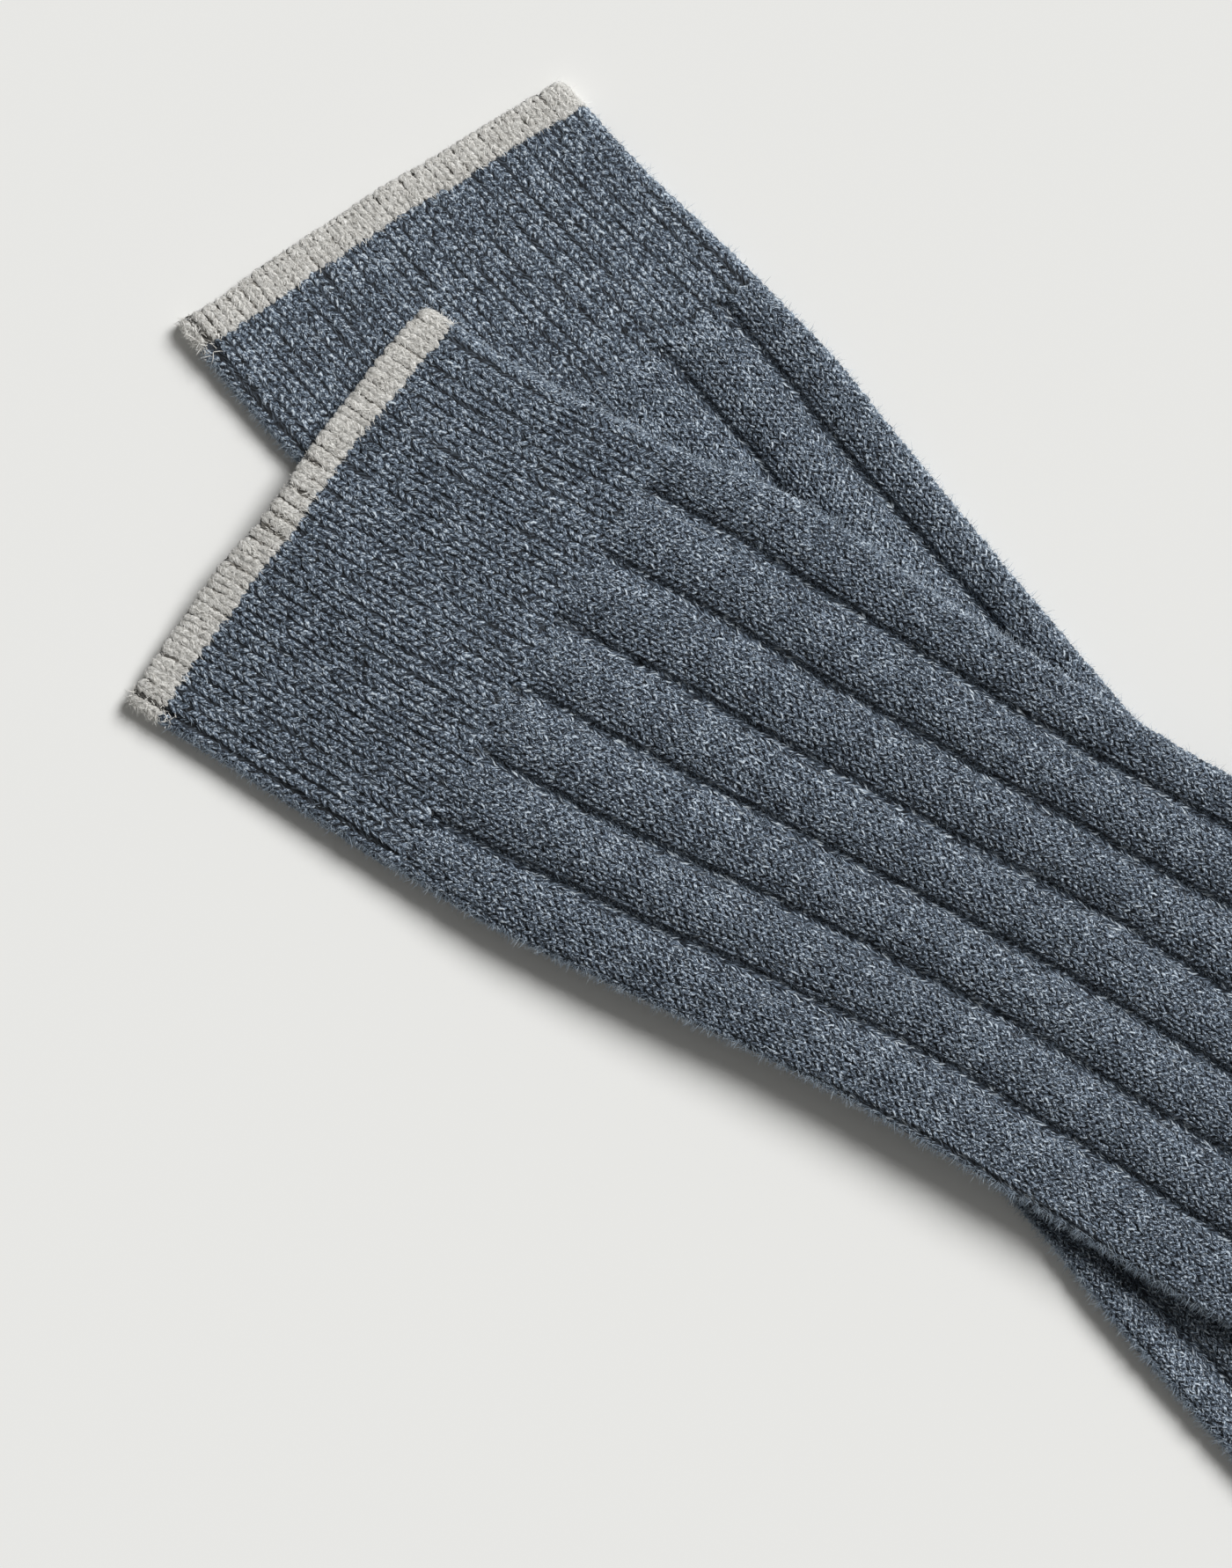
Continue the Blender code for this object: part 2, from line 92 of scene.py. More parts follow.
ANKLE = 288.0
FOOT_TURN = math.radians(62)
INSTEP_RADIUS = 26.0
HEEL_BULGE = 15.0
TURN_LENGTH = 70.0
FOOT_LENGTH = 134.0
TOE_LENGTH = 48.0
TURN_END = ANKLE + TURN_LENGTH
TOE_START = TURN_END + FOOT_LENGTH
SOCK_LENGTH = TOE_START + TOE_LENGTH
TOE_POWER = 2.3
INSTEP_TAPER = 90.0

WELT_EXTRA = 0.15
LIFT_GAP = 0.4
LIFT_REACH = 1.0
LIFT_FALL = 58.0
LAYOUT_ZERO = (-7.6346, 78.7147)    # where the two legs cross, in the frame
print("crown of a rib above the underside:", CROWN, "mm; sock length:", SOCK_LENGTH, "mm")

# %% [markdown]
# ## The two legs as tables
# A leg laid by hand is never quite straight.  Each row is a place down the leg
# and says how far the folds and the outermost grooves lie from the leg's
# middle line, and how far the row's back end is ahead of its front end.

# %% Rows of the two legs
Row = namedtuple("Row", "along back front back_groove front_groove skew")

TOP_LEG = (
    Row(0, 44.5, 44.0, 35.4, 35.2, 12.0),
    Row(20, 43.2, 44.9, 35.4, 35.2, 9.5),
    Row(40, 43.6, 45.9, 35.4, 35.2, 7.0),
    Row(60, 44.8, 46.7, 35.4, 35.2, 4.5),
    Row(75, 47.0, 46.9, 35.5, 34.7, 2.5),
    Row(90, 46.9, 45.9, 34.8, 33.5, 1.0),
    Row(105, 45.2, 44.8, 34.1, 31.8, 0.0),
    Row(120, 44.2, 43.6, 33.6, 30.7, 0.0),
    Row(140, 43.3, 42.6, 33.0, 29.2, 0.0),
    Row(160, 42.3, 42.6, 33.2, 28.6, 0.0),
    Row(180, 42.3, 42.9, 33.8, 29.4, 0.0),
    Row(215, 42.3, 44.0, 33.8, 31.0, 0.0),
    Row(250, 41.6, 43.0, 33.4, 32.0, 0.0),
    Row(ANKLE, 41.0, 41.0, 33.0, 32.5, 0.0),
)
UNDER_LEG = (
    Row(0, 40.0, 40.6, 33.3, 34.8, 14.7),
    Row(20, 39.9, 41.6, 33.3, 34.8, 15.0),
    Row(45, 41.3, 41.6, 33.3, 34.8, 15.0),
    Row(70, 41.9, 41.4, 32.5, 34.6, 12.0),
    Row(90, 40.7, 41.2, 31.3, 34.2, 8.0),
    Row(120, 39.0, 40.6, 30.5, 33.6, 3.0),
    Row(150, 37.6, 39.8, 30.0, 33.0, 0.0),
    Row(180, 36.6, 39.2, 29.5, 32.5, 0.0),
    Row(215, 36.6, 38.4, 29.4, 31.5, 0.0),
    Row(240, 36.8, 40.0, 29.4, 32.0, 0.0),
    Row(270, 37.4, 40.8, 29.8, 32.5, 0.0),
    Row(ANKLE, 38.5, 40.5, 30.8, 32.5, 0.0),
)

Sock = namedtuple(
    "Sock", "name crossing slant cuff rows bow foot_width below seed course dent late shade")
# crossing: how far down the legs cross; slant: degrees; below: the sock it lies on;
# course: height of a cuff course; dent: of the mouth's edge; late: how much later
# each groove starts; shade: base tone of its stitches, set lighter for the under sock.
UNDER_SOCK = Sock(
    "under_sock", crossing=186.9, slant=47.0, cuff=49.5, rows=UNDER_LEG, bow=0.9,
    foot_width=73.0, below=None, seed=7, course=1.50, dent=0.0, late=(0, 1, 18, 0, 0, 0),
    shade=0.56)
TOP_SOCK = Sock(
    "top_sock", crossing=166.0, slant=29.5, cuff=52.0, rows=TOP_LEG, bow=1.8,
    foot_width=76.0, below=UNDER_SOCK, seed=3, course=1.70, dent=1.1, late=(2, 0, 0, 0, 1, 0),
    shade=0.50)
SOCKS = (UNDER_SOCK, TOP_SOCK)
TOP_MOUTH = TOP_LEG[0].back + TOP_LEG[0].front


def read_table(rows, column, along):
    """Read a table's column at many places, on a curve with no corners."""
    stops = np.array([row.along for row in rows], dtype=float)
    values = np.array([getattr(row, column) for row in rows], dtype=float)
    slopes = np.empty_like(values)
    slopes[1:-1] = (values[2:] - values[:-2]) / (stops[2:] - stops[:-2])
    slopes[0] = (values[1] - values[0]) / (stops[1] - stops[0])
    slopes[-1] = (values[-1] - values[-2]) / (stops[-1] - stops[-2])
    low = np.clip(np.searchsorted(stops, along, side="left") - 1, 0, len(rows) - 2)
    high = low + 1
    run = stops[high] - stops[low]
    t = np.clip((along - stops[low]) / run, 0.0, 1.0)
    from_ends = values[low] * (1 + 2 * t) * (1 - t) ** 2 + values[high] * t * t * (3 - 2 * t)
    tilts = slopes[low] * t * (1 - t) ** 2 + slopes[high] * t * t * (t - 1)
    return from_ends + tilts * run


print("top sock's width at the welt:", TOP_MOUTH, "mm")

# %% [markdown]
# ## The outline on the floor
# The leg is a band between its folds, the heel fans out about a point in front
# of the ankle, and the foot runs straight to a rounded toe.  numpy works all
# rows out at once, which keeps a mesh of a hundred thousand faces quick.

# %% Folds of the tube
OUTLINE_STEP = 6.0


def smooth_step(value):
    """Go from 0 to 1 with a soft start and a soft end."""
    clamped = np.clip(value, 0.0, 1.0)
    return clamped * clamped * (3.0 - 2.0 * clamped)


def blend(start, end, share):
    """Between two values, by a share from 0 to 1."""
    return start + (end - start) * share


def directions(sock, turn=0.0):
    """Unit vectors along the sock and towards its front fold."""
    angle = math.radians(sock.slant) + np.asarray(turn, dtype=float)
    ahead = np.stack((np.cos(angle), -np.sin(angle)), axis=-1)
    to_front = np.stack((-np.sin(angle), -np.cos(angle)), axis=-1)
    return ahead, to_front


def leg_folds(sock, along):
    """Back and front fold of the leg."""
    ahead, to_front = directions(sock)
    middle = ahead * (along - sock.crossing)[:, None]
    skew = ahead * (0.5 * read_table(sock.rows, "skew", along))[:, None]
    back = middle + skew - to_front * read_table(sock.rows, "back", along)[:, None]
    front = middle - skew + to_front * read_table(sock.rows, "front", along)[:, None]
    return back, front


def ankle_width(sock):
    """The leg's width where the foot starts to turn."""
    return sock.rows[-1].back + sock.rows[-1].front


def turn_centre(sock):
    """The point in front of the ankle that the foot turns about."""
    ahead, to_front = directions(sock)
    return ahead * (ANKLE - sock.crossing) + to_front * (sock.rows[-1].front + INSTEP_RADIUS)


def turn_folds(sock, along):
    """Back and front fold of the heel, whose rows fan out."""
    share = np.clip((along - ANKLE) / TURN_LENGTH, 0.0, 1.0)
    _, to_front = directions(sock, FOOT_TURN * share)
    bulge = HEEL_BULGE * np.sin(math.pi * share) ** 1.5
    reach = INSTEP_RADIUS + ankle_width(sock) + bulge
    centre = turn_centre(sock)
    return centre - to_front * reach[:, None], centre - to_front * INSTEP_RADIUS


def foot_folds(sock, along):
    """Back and front fold of the foot and the toe."""
    past = along - TURN_END
    ahead, to_front = directions(sock, FOOT_TURN)
    sole = turn_centre(sock) - to_front * (INSTEP_RADIUS + ankle_width(sock))
    narrower = sock.foot_width - ankle_width(sock)
    width = ankle_width(sock) + narrower * smooth_step(past / INSTEP_TAPER)
    into_toe = np.clip((past - FOOT_LENGTH) / TOE_LENGTH, 0.0, 1.0)
    rounding = (1.0 - into_toe ** TOE_POWER) ** (1.0 / TOE_POWER)
    middle = sole + ahead * past[:, None] + to_front * (0.5 * width)[:, None]
    half = to_front * (0.5 * width * rounding)[:, None]
    return middle - half, middle + half


def folds(sock, along):
    """Back and front fold anywhere, from the welt's edge to the toe's tip."""
    along = np.asarray(along, dtype=float)
    leg = leg_folds(sock, along)
    turn = turn_folds(sock, along)
    foot = foot_folds(sock, along)
    in_leg = (along <= ANKLE)[:, None]
    in_turn = (along <= TURN_END)[:, None]
    return [np.where(in_leg, leg[k], np.where(in_turn, turn[k], foot[k])) for k in (0, 1)]


def span(sock, along):
    """Back fold, front fold, and the tube's width between them."""
    back, front = folds(sock, along)
    return back, front, np.hypot(*(front - back).T)


def outline(sock):
    """The whole sock's outline, as a closed ring of points."""
    stops = np.linspace(0.0, SOCK_LENGTH, round(SOCK_LENGTH / OUTLINE_STEP) + 1)
    back, front = folds(sock, stops)
    return np.concatenate((back, front[-2::-1]))


print("outline of the under sock has", len(outline(UNDER_SOCK)), "points")

# %% [markdown]
# ## How the top sock climbs over the other
# Where the top sock crosses, its underside is held one sock's thickness up.
# Past the other's fold it comes down to the floor in a soft slope.

# %% Height of the cloth's underside
def distance_outside(ring, spots):
    """How far each spot lies outside a closed outline, below 0 inside it."""
    nearest = np.full(len(spots), np.inf)
    inside = np.zeros(len(spots), dtype=bool)
    for start, end in zip(ring, np.roll(ring, -1, axis=0)):
        side = end - start
        share = np.clip((spots - start) @ side / (side @ side), 0.0, 1.0)
        gap = spots - start - share[:, None] * side
        nearest = np.minimum(nearest, np.hypot(gap[:, 0], gap[:, 1]))
        spans = (start[1] > spots[:, 1]) != (end[1] > spots[:, 1])
        if start[1] != end[1]:
            meets = start[0] + side[0] * (spots[:, 1] - start[1]) / side[1]
            inside ^= spans & (spots[:, 0] < meets)
    return np.where(inside, -nearest, nearest)


def swell(sock, along):
    """How much thicker the cloth is here than at the cuff."""
    return 1.0 + (SWELL - 1.0) * smooth_step((along - sock.cuff) / SWELL_LENGTH)


def lift(sock, spots):
    """Height of the underside above the floor."""
    below = sock.below
    if below is None:
        return np.zeros(len(spots))
    past = distance_outside(outline(below), spots) - LIFT_REACH
    ahead, _ = directions(below)
    height = CROWN * swell(below, below.crossing + spots @ ahead) + WELT_EXTRA + LIFT_GAP
    return height * (1.0 - smooth_step(past / LIFT_FALL))


print("lift over the other leg:", round(CROWN * SWELL + WELT_EXTRA + LIFT_GAP, 2), "mm")

# %% [markdown]
# ## Places round the tube
# A place on the knit is a distance down the sock and a distance round it,
# starting at the back fold and going over the upper face.  A knitter counts the
# same way, in courses and wales.  The folds are quarter ellipses, so stitches
# can be carried round them without a break.

# %% Sections of the flat tube
UPPER_ARC = 0.5 * math.pi * math.hypot(FOLD_ROUND, CROWN - FOLD_HEIGHT) / math.sqrt(2)
LOWER_ARC = 0.5 * math.pi * math.hypot(FOLD_ROUND_BELOW, FOLD_HEIGHT) / math.sqrt(2)


def runs(width):
    """Length of the upper face and of the lower one, measured round the folds."""
    upper = width - 2.0 * FOLD_ROUND + 2.0 * UPPER_ARC
    lower = width - 2.0 * FOLD_ROUND_BELOW + 2.0 * LOWER_ARC
    return upper, lower


def fold_turn(from_fold_arc, arc, radius):
    """Distance in from the fold, and how far the fold has turned, from 0 to 1."""
    angle = np.clip(from_fold_arc / arc, 0.0, 1.0) * 0.5 * math.pi
    inward = radius * (1.0 - np.cos(angle)) + np.maximum(from_fold_arc - arc, 0.0)
    return inward, np.sin(angle)


def section(width, around):
    """Across the flat tube, height share of the fold, and whether it is the upper face."""
    upper_run, lower_run = runs(width)
    around = np.mod(around, upper_run + lower_run)
    is_upper = around <= upper_run
    place = np.where(is_upper, around, around - upper_run)
    run = np.where(is_upper, upper_run, lower_run)
    from_fold = np.minimum(place, run - place)
    above, turned_above = fold_turn(from_fold, UPPER_ARC, FOLD_ROUND)
    below, turned_below = fold_turn(from_fold, LOWER_ARC, FOLD_ROUND_BELOW)
    inward = np.where(is_upper, above, below)
    first_half = place < 0.5 * run
    across = np.where(first_half == is_upper, inward, width - inward)
    return across, np.where(is_upper, turned_above, turned_below), is_upper


print("round the top sock's welt:", round(sum(runs(TOP_MOUTH)), 1), "mm")

# %% [markdown]
# ## Seeded unevenness
# Hand-laid knit has soft hills and hollows.  A small lattice of random numbers,
# read with a smooth blend between its points, gives the same hills every run.
# A ripple is such a row of hills down the sock, with a spacing and a height.

# %% Soft hills from a seeded lattice
LATTICE = 64


def hills(seed, x, y):
    """Smooth random values between -1 and 1, with hills about 1 unit wide."""
    lattice = np.random.default_rng(seed).uniform(-1.0, 1.0, (LATTICE, LATTICE))
    column = np.floor(x).astype(int)
    row = np.floor(y).astype(int)
    fx = smooth_step(x - column)
    fy = smooth_step(y - row)
    near = lattice[row % LATTICE, column % LATTICE] * (1 - fx)
    near = near + lattice[row % LATTICE, (column + 1) % LATTICE] * fx
    far = lattice[(row + 1) % LATTICE, column % LATTICE] * (1 - fx)
    far = far + lattice[(row + 1) % LATTICE, (column + 1) % LATTICE] * fx
    return near * (1 - fy) + far * fy


Ripple = namedtuple("Ripple", "seed spacing height")     # seed counts from the sock's own


def ripple(sock, kind, along, line=0.5):
    """A ripple's height at places down the sock.  Each line has hills of its own."""
    return kind.height * hills(sock.seed + kind.seed, along / kind.spacing, line)


print("a hill:", hills(1, np.array([0.5]), np.array([0.5]))[0])

# %% [markdown]
# ## Relief of the knit
# In wide rib, seven knit wales puff up between purl wales that sink out of sight.
# The puff is broad, and the groove between two ribs is about a wale wide.  Beside
# the front fold a press has left a crease, which opens into a slit at the mouth.
# All of it is a depth below the ribs' crown, worked out for each place on the knit.

# %% Ribs, grooves and crease
KNIT_WALES = 7          # between one groove and the next
WALES_PER_RIB = 7.4     # with what shows of the purl wale
PUFF_DEPTH = 1.35
GROOVE_HALF = 0.55      # half of a purl wale
SLIT_DEPTH = 0.80
SLIT_WIDTH = 1.08
EDGE_DEPTH = 0.20       # the leg's rims lie this much lower than its middle
EDGE_REACH = 8.0
CREASE_DEPTH = 0.42
LEG_CREASE_DEPTH = 0.20
CREASE_WIDTH = 0.50
LEG_CREASE_FROM_FOLD = 1.1
MOUTH_SLIT_DEPTH = 1.3
MOUTH_SLIT_LENGTH = 13.0
CUFF_END_DIP = 0.40     # the cloth dips where the rib changes
CUFF_END_WIDTH = 1.8
CUFF_END_PAST = 0.6
CUFF_END_RIPPLE = Ripple(45, 11.0, 0.4)
GROOVE_STRAYS = ((Ripple(40, 21.0, 0.34), 3.7), (Ripple(41, 4.5, 0.11), 5.3))
CREASE_STRAY = Ripple(50, 6.0, 0.35)
CUFF_CREASE_STRAY = 0.6         # share of that stray beside the cuff
CREASE_RIPPLE = Ripple(52, 9.0, 0.25)
CREASE_FADE = 25.0
CREASE_SHADE = 0.52             # how deep in shade a crease counts, along the cuff
LEG_CREASE_SHADE = 0.28
MOUTH_SLIT_SHADE = 0.48         # added in the slit
HILL_HEIGHT = 0.42
HILL_SPACING = (24.0, 17.0)
DIMPLE_HEIGHT = 0.10
DIMPLE_SPACING = (2.3, 1.5)


def groove_places(sock, along, width):
    """Across the tube: the first groove, and the step to the next."""
    place = np.minimum(along, ANKLE)
    back = read_table(sock.rows, "back", place)
    front = read_table(sock.rows, "front", place)
    first = back - read_table(sock.rows, "back_groove", place)
    last = back + read_table(sock.rows, "front_groove", place)
    stretched = width / (back + front)
    return first * stretched, (last - first) * stretched / (GROOVES - 1)


def groove_wander(sock, groove, along):
    """A groove strays a little to each side as it runs."""
    return sum(ripple(sock, kind, along, line * groove + 0.5) for kind, line in GROOVE_STRAYS)


def wide_rib(sock, along, across, width):
    """How far the wide rib lies below its crown, and how deep in a groove it is."""
    first, pitch = groove_places(sock, along, width)
    count = (across - first) / pitch
    groove = np.clip(np.rint(count), 0, GROOVES - 1)
    count = (across - first - groove_wander(sock, groove, along)) / pitch
    away = np.abs(count - groove) * pitch
    late = np.take(sock.late, groove.astype(int))
    fade = smooth_step((along - sock.cuff + GROOVE_LEAD - late) / GROOVE_START)
    ends_at_heel = 1.0 - smooth_step((along - ANKLE + SOLE_FADE) / SOLE_FADE)
    fade = fade * np.where(groove < SOLE_GROOVES, ends_at_heel, 1.0)
    fade = fade * smooth_step((TOE_START - along) / GROOVE_START)
    half_rib = 0.5 * pitch - GROOVE_HALF
    puff = np.clip(1.0 - (away - GROOVE_HALF) / half_rib, 0.0, 1.0) ** 2
    slit = np.exp(-(away / SLIT_WIDTH) ** 4)
    from_fold = np.minimum(across, width - across)
    rim = EDGE_DEPTH * (1.0 - smooth_step(from_fold / EDGE_REACH))
    rim = rim * smooth_step((along - sock.cuff) / SWELL_LENGTH)
    depth = fade * (PUFF_DEPTH * puff + SLIT_DEPTH * slit) + rim
    return depth, fade * np.exp(-(away / SLIT_WIDTH) ** 2)


def crease(sock, along, across, width):
    """Depth of the pressed crease beside the front fold, and how much in its shade it is."""
    on_leg = smooth_step((along - sock.cuff) / SWELL_LENGTH)
    from_fold = blend(CREASE_FROM_FOLD, LEG_CREASE_FROM_FOLD, on_leg)
    stray = ripple(sock, CREASE_STRAY, along)
    from_fold = from_fold + blend(CUFF_CREASE_STRAY, 1.0, on_leg) * stray
    place = (width - across - from_fold) / CREASE_WIDTH
    near_mouth = 1.0 - smooth_step(along / MOUTH_SLIT_LENGTH)
    fades = smooth_step((TOE_START + CREASE_FADE - along) / CREASE_FADE)
    fades = fades * (1.0 - CREASE_RIPPLE.height + ripple(sock, CREASE_RIPPLE, along))
    front = fades * np.exp(-place * place)
    deepest = blend(CREASE_DEPTH, LEG_CREASE_DEPTH, on_leg)
    depth = front * (deepest + MOUTH_SLIT_DEPTH * near_mouth)
    shade = blend(CREASE_SHADE, LEG_CREASE_SHADE, on_leg)
    return depth, front * (shade + MOUTH_SLIT_SHADE * near_mouth)


def unevenness(sock, along, across):
    """Broad hills of the lay, and the small dimples between stitches."""
    broad = hills(sock.seed, along / HILL_SPACING[0], across / HILL_SPACING[1])
    small = hills(sock.seed + 1, along / DIMPLE_SPACING[0], across / DIMPLE_SPACING[1])
    past = along - sock.cuff - CUFF_END_PAST
    dip = CUFF_END_DIP * np.exp(-(past / CUFF_END_WIDTH) ** 2)
    dip = dip * (1.0 - CUFF_END_RIPPLE.height + ripple(sock, CUFF_END_RIPPLE, across))
    return HILL_HEIGHT * (broad - 1.0) * 0.5 + DIMPLE_HEIGHT * small - dip


print("a groove's bottom lies", PUFF_DEPTH + SLIT_DEPTH, "mm below the crown")

# %% [markdown]
# ## From the knit to the room
# One function turns places on the knit into points in the room.  Everything
# else, shells, stitches and nap, is placed through it, so the stitches sit on
# the cloth from every side.  Above the first courses the wall turns round the
# sock's mouth in a half ellipse, so that stitches can follow the lip inwards.

# %% Points on the cloth
LIP_REACH = 1.0
LIP_OUT = 1.5           # the rolled lip reaches this far out from there
LIP_ARC = 1.8           # a quarter turn of the lip, measured along the cloth
FOLD_SQUARENESS = 0.5   # below 1 the upper face reaches its height sooner past a fold
INNER_SIDE_SHARE = 0.4  # of the width, the most that a side wall takes at the toe's tip
INNER_ROUND = 2.0       # the inner faces part over this length from their sides
MOUTH_WAVE = 0.35       # the mouth's edge is never ruler-straight
MOUTH_WAVES = 9.0       # in its width
MOUTH_FADE = 14.0
DENT_HALF = 0.17        # half of the dent in the mouth, as a share of its width


def bow(sock, along, share):
    """How far a row bows towards the sock's mouth, with the mouth's own waves."""
    fade = 1.0 - smooth_step(along / BOW_END)
    at_mouth = 1.0 - smooth_step(along / MOUTH_FADE)
    wave = MOUTH_WAVE * hills(sock.seed + 60, share * MOUTH_WAVES, 0.5)
    dent = sock.dent * np.exp(-((share - 0.5) / DENT_HALF) ** 2)
    return sock.bow * fade * 4.0 * share * (1.0 - share) + at_mouth * (wave - dent)


def on_floor(sock, along, across, width, back, front):
    """The spot on the floor plan below a place on the knit."""
    share = across / width
    ahead, _ = directions(sock)
    return back + (front - back) * share[:, None] - ahead * bow(sock, along, share)[:, None]


def to_room(sock, spot, height):
    """Layout millimetres to metres in the frame."""
    x = (spot[:, 0] + LAYOUT_ZERO[0]) * MM
    y = (spot[:, 1] + LAYOUT_ZERO[1]) * MM
    z = (lift(sock, spot) + height) * MM
    return np.stack((x, y, z), axis=-1)


def inner_points(sock, along, around):
    """Points of the plain inner face, which almost touches itself."""
    back, front, width = span(sock, along)
    across, _, is_upper = section(width, around)
    side = np.minimum(SIDE_WALL, INNER_SIDE_SHARE * width)
    inside = np.clip(across, side, width - side)
    from_side = np.minimum(inside - side, width - side - inside)
    opening = 0.5 * INNER_GAP * np.clip(from_side / INNER_ROUND, 0.0, 1.0)
    height = UNDER_WALL + 0.5 * INNER_GAP + np.where(is_upper, opening, -opening)
    height = height * swell(sock, along)
    return to_room(sock, on_floor(sock, along, inside, width, back, front), height)


# A layer's relief adds a depth of its own, and its drop lowers the upper face.
Layer = namedtuple("Layer", "relief drop")
PLAIN = Layer(None, 0.0)


def cloth(sock, along, around, layer=PLAIN):
    """Points of the outer face, and how deep in a groove each is."""
    relief, drop = layer
    turn = np.clip((LIP_REACH - along) / LIP_ARC, 0.0, 2.0) * 0.5 * math.pi
    place = np.maximum(along, LIP_REACH)
    back, front, width = span(sock, place)
    across, turned, is_upper = section(width, around)
    depth, hollow = crease(sock, place, across, width)
    if relief is not None:
        rib_depth, groove = relief(sock, place, across, width)
        depth = depth + rib_depth
        hollow = np.maximum(hollow, groove)
    crown = CROWN - drop - depth + unevenness(sock, place, across)
    above = FOLD_HEIGHT + (crown - FOLD_HEIGHT) * turned ** FOLD_SQUARENESS
    below = FOLD_HEIGHT * (1.0 - turned) + 0.5 * drop
    height = np.where(is_upper, above, below) * swell(sock, place)
    points = to_room(sock, on_floor(sock, place, across, width, back, front), height)
    hollow = np.where(is_upper, hollow * turned, 0.0)
    if turn.any():
        inner = inner_points(sock, place, around)
        ahead, _ = directions(sock)
        reach = np.append(ahead, 0.0) * LIP_OUT * MM
        rounded = 0.5 * (points + inner) + 0.5 * (points - inner) * np.cos(turn)[:, None]
        rounded = rounded - reach * np.sin(turn)[:, None]
        points = np.where((turn > 0.0)[:, None], rounded, points)
    return points, hollow


corner, _ = cloth(TOP_SOCK, np.array([2.0]), np.array([0.0]))
print("top sock's back corner:", corner[0].round(4))

# %% [markdown]
# ## Where the mesh has its columns
# Columns of the mesh follow the grooves, closer together near them, so that a
# groove never saws across the faces.  The underside rests flat and needs few.

# %% Column plans
FOLD_COLUMNS = 6
SIDE_COLUMNS = 10
RIB_COLUMNS = 16
UNDER_COLUMNS = 14
PLAIN_COLUMNS = 90
CROWDING = 0.32         # of the columns beside a groove


def across_to_around(across):
    """A place on the flat of the upper face, measured round the tube."""
    return across - FOLD_ROUND + UPPER_ARC


def denser_at_ends(count):
    """Shares from 0 to 1, closer together at both ends."""
    share = np.linspace(0.0, 1.0, count, endpoint=False)
    return share - CROWDING * np.sin(2.0 * math.pi * share) / (2.0 * math.pi)


def even(start, end, count):
    """Even places from a start up to an end, without the end itself."""
    return np.linspace(start, end, count, endpoint=False)


def ring_columns(sock, along, ribbed):
    """Distances round the tube of a row's columns, for one place down the sock."""
    place = np.array([along])
    width = span(sock, place)[2]
    upper_run, lower_run = runs(float(width[0]))
    under = upper_run + lower_run
    upper_end = upper_run - UPPER_ARC
    columns = [even(0.0, UPPER_ARC, FOLD_COLUMNS)]
    if ribbed:
        first, pitch = groove_places(sock, place, width)
        marks = [
            float(across_to_around(first + k * pitch + groove_wander(sock, float(k), place))[0])
            for k in range(GROOVES)]
        columns.append(even(UPPER_ARC, marks[0], SIDE_COLUMNS))
        for start, end in zip(marks, marks[1:]):
            columns.append(start + (end - start) * denser_at_ends(RIB_COLUMNS))
        columns.append(even(marks[-1], upper_end, SIDE_COLUMNS))
    else:
        columns.append(even(UPPER_ARC, upper_end, PLAIN_COLUMNS))
    columns += [
        even(upper_end, upper_run, FOLD_COLUMNS),
        even(upper_run, upper_run + LOWER_ARC, FOLD_COLUMNS),
        even(upper_run + LOWER_ARC, under - LOWER_ARC, UNDER_COLUMNS),
        even(under - LOWER_ARC, under, FOLD_COLUMNS)]
    return np.concatenate(columns), under


def wale_count(sock, along, around):
    """Wales counted from the first groove."""
    first, pitch = groove_places(sock, along, span(sock, along)[2])
    return (around - across_to_around(first)) / pitch * WALES_PER_RIB


columns, whole = ring_columns(TOP_SOCK, 100.0, True)
print(len(columns), "columns round", round(whole, 1), "mm")

# %% [markdown]
# ## A shell for each stretch
# The wall of a stretch is a closed sheet: its outer face, its lip or end, and
# its plain inner face.  All the rows join into one grid whose UV map counts
# wales across and millimetres along, so a material can draw single stitches.

# %% Grid to mesh
CLOSING_ROW = (0.0, 0.3)    # how far the map runs on over the faces that close a wall
INNER_STEP = 12.0           # between rows of the plain inner face


def sheet_mesh(name, points, counts, hollows, wraps):
    """Make a mesh from rows of points that close round the tube.

    Where the rows wrap, the last joins the first.  Otherwise both ends get a cap.
    """
    rows, columns = points.shape[:2]
    index = np.arange(rows * columns).reshape(rows, columns)
    ends = [] if wraps else [(index[0][::-1], 0), (index[-1], rows - 1)]
    if wraps:
        index = np.concatenate((index, index[:1]))
        counts = np.concatenate((counts, counts[-1:] + CLOSING_ROW))
    here, there = index[:-1], index[1:]
    faces = np.stack((here, np.roll(here, -1, 1), np.roll(there, -1, 1), there), axis=2)
    faces = faces.reshape(-1, 4).tolist()
    near, far = counts[:-1], counts[1:]
    uvs = [np.stack((near[:, :-1], near[:, 1:], far[:, 1:], far[:, :-1]), axis=2).reshape(-1, 2)]
    flat_points = points.reshape(-1, 3)
    for ring, row in ends:
        faces += [(a, b, len(flat_points)) for a, b in zip(ring, np.roll(ring, -1))]
        middle = counts[row].mean(axis=0)[None].repeat(columns, axis=0)
        cap = np.stack((counts[row][:-1], counts[row][1:], middle), axis=1)
        uvs.append(cap.reshape(-1, 2))
        flat_points = np.concatenate((flat_points, points[row].mean(axis=0)[None]))
        hollows = np.append(hollows, 0.0)
    data = bpy.data.meshes.new(name)
    data.from_pydata(flat_points, [], faces)
    layer = data.uv_layers.new(name="knit")
    layer.data.foreach_set("uv", np.concatenate(uvs).astype(np.float32).ravel())
    hollow = data.attributes.new("hollow", "FLOAT", "POINT")
    hollow.data.foreach_set("value", np.asarray(hollows, dtype=np.float32).ravel())
    data.shade_smooth()
    return data


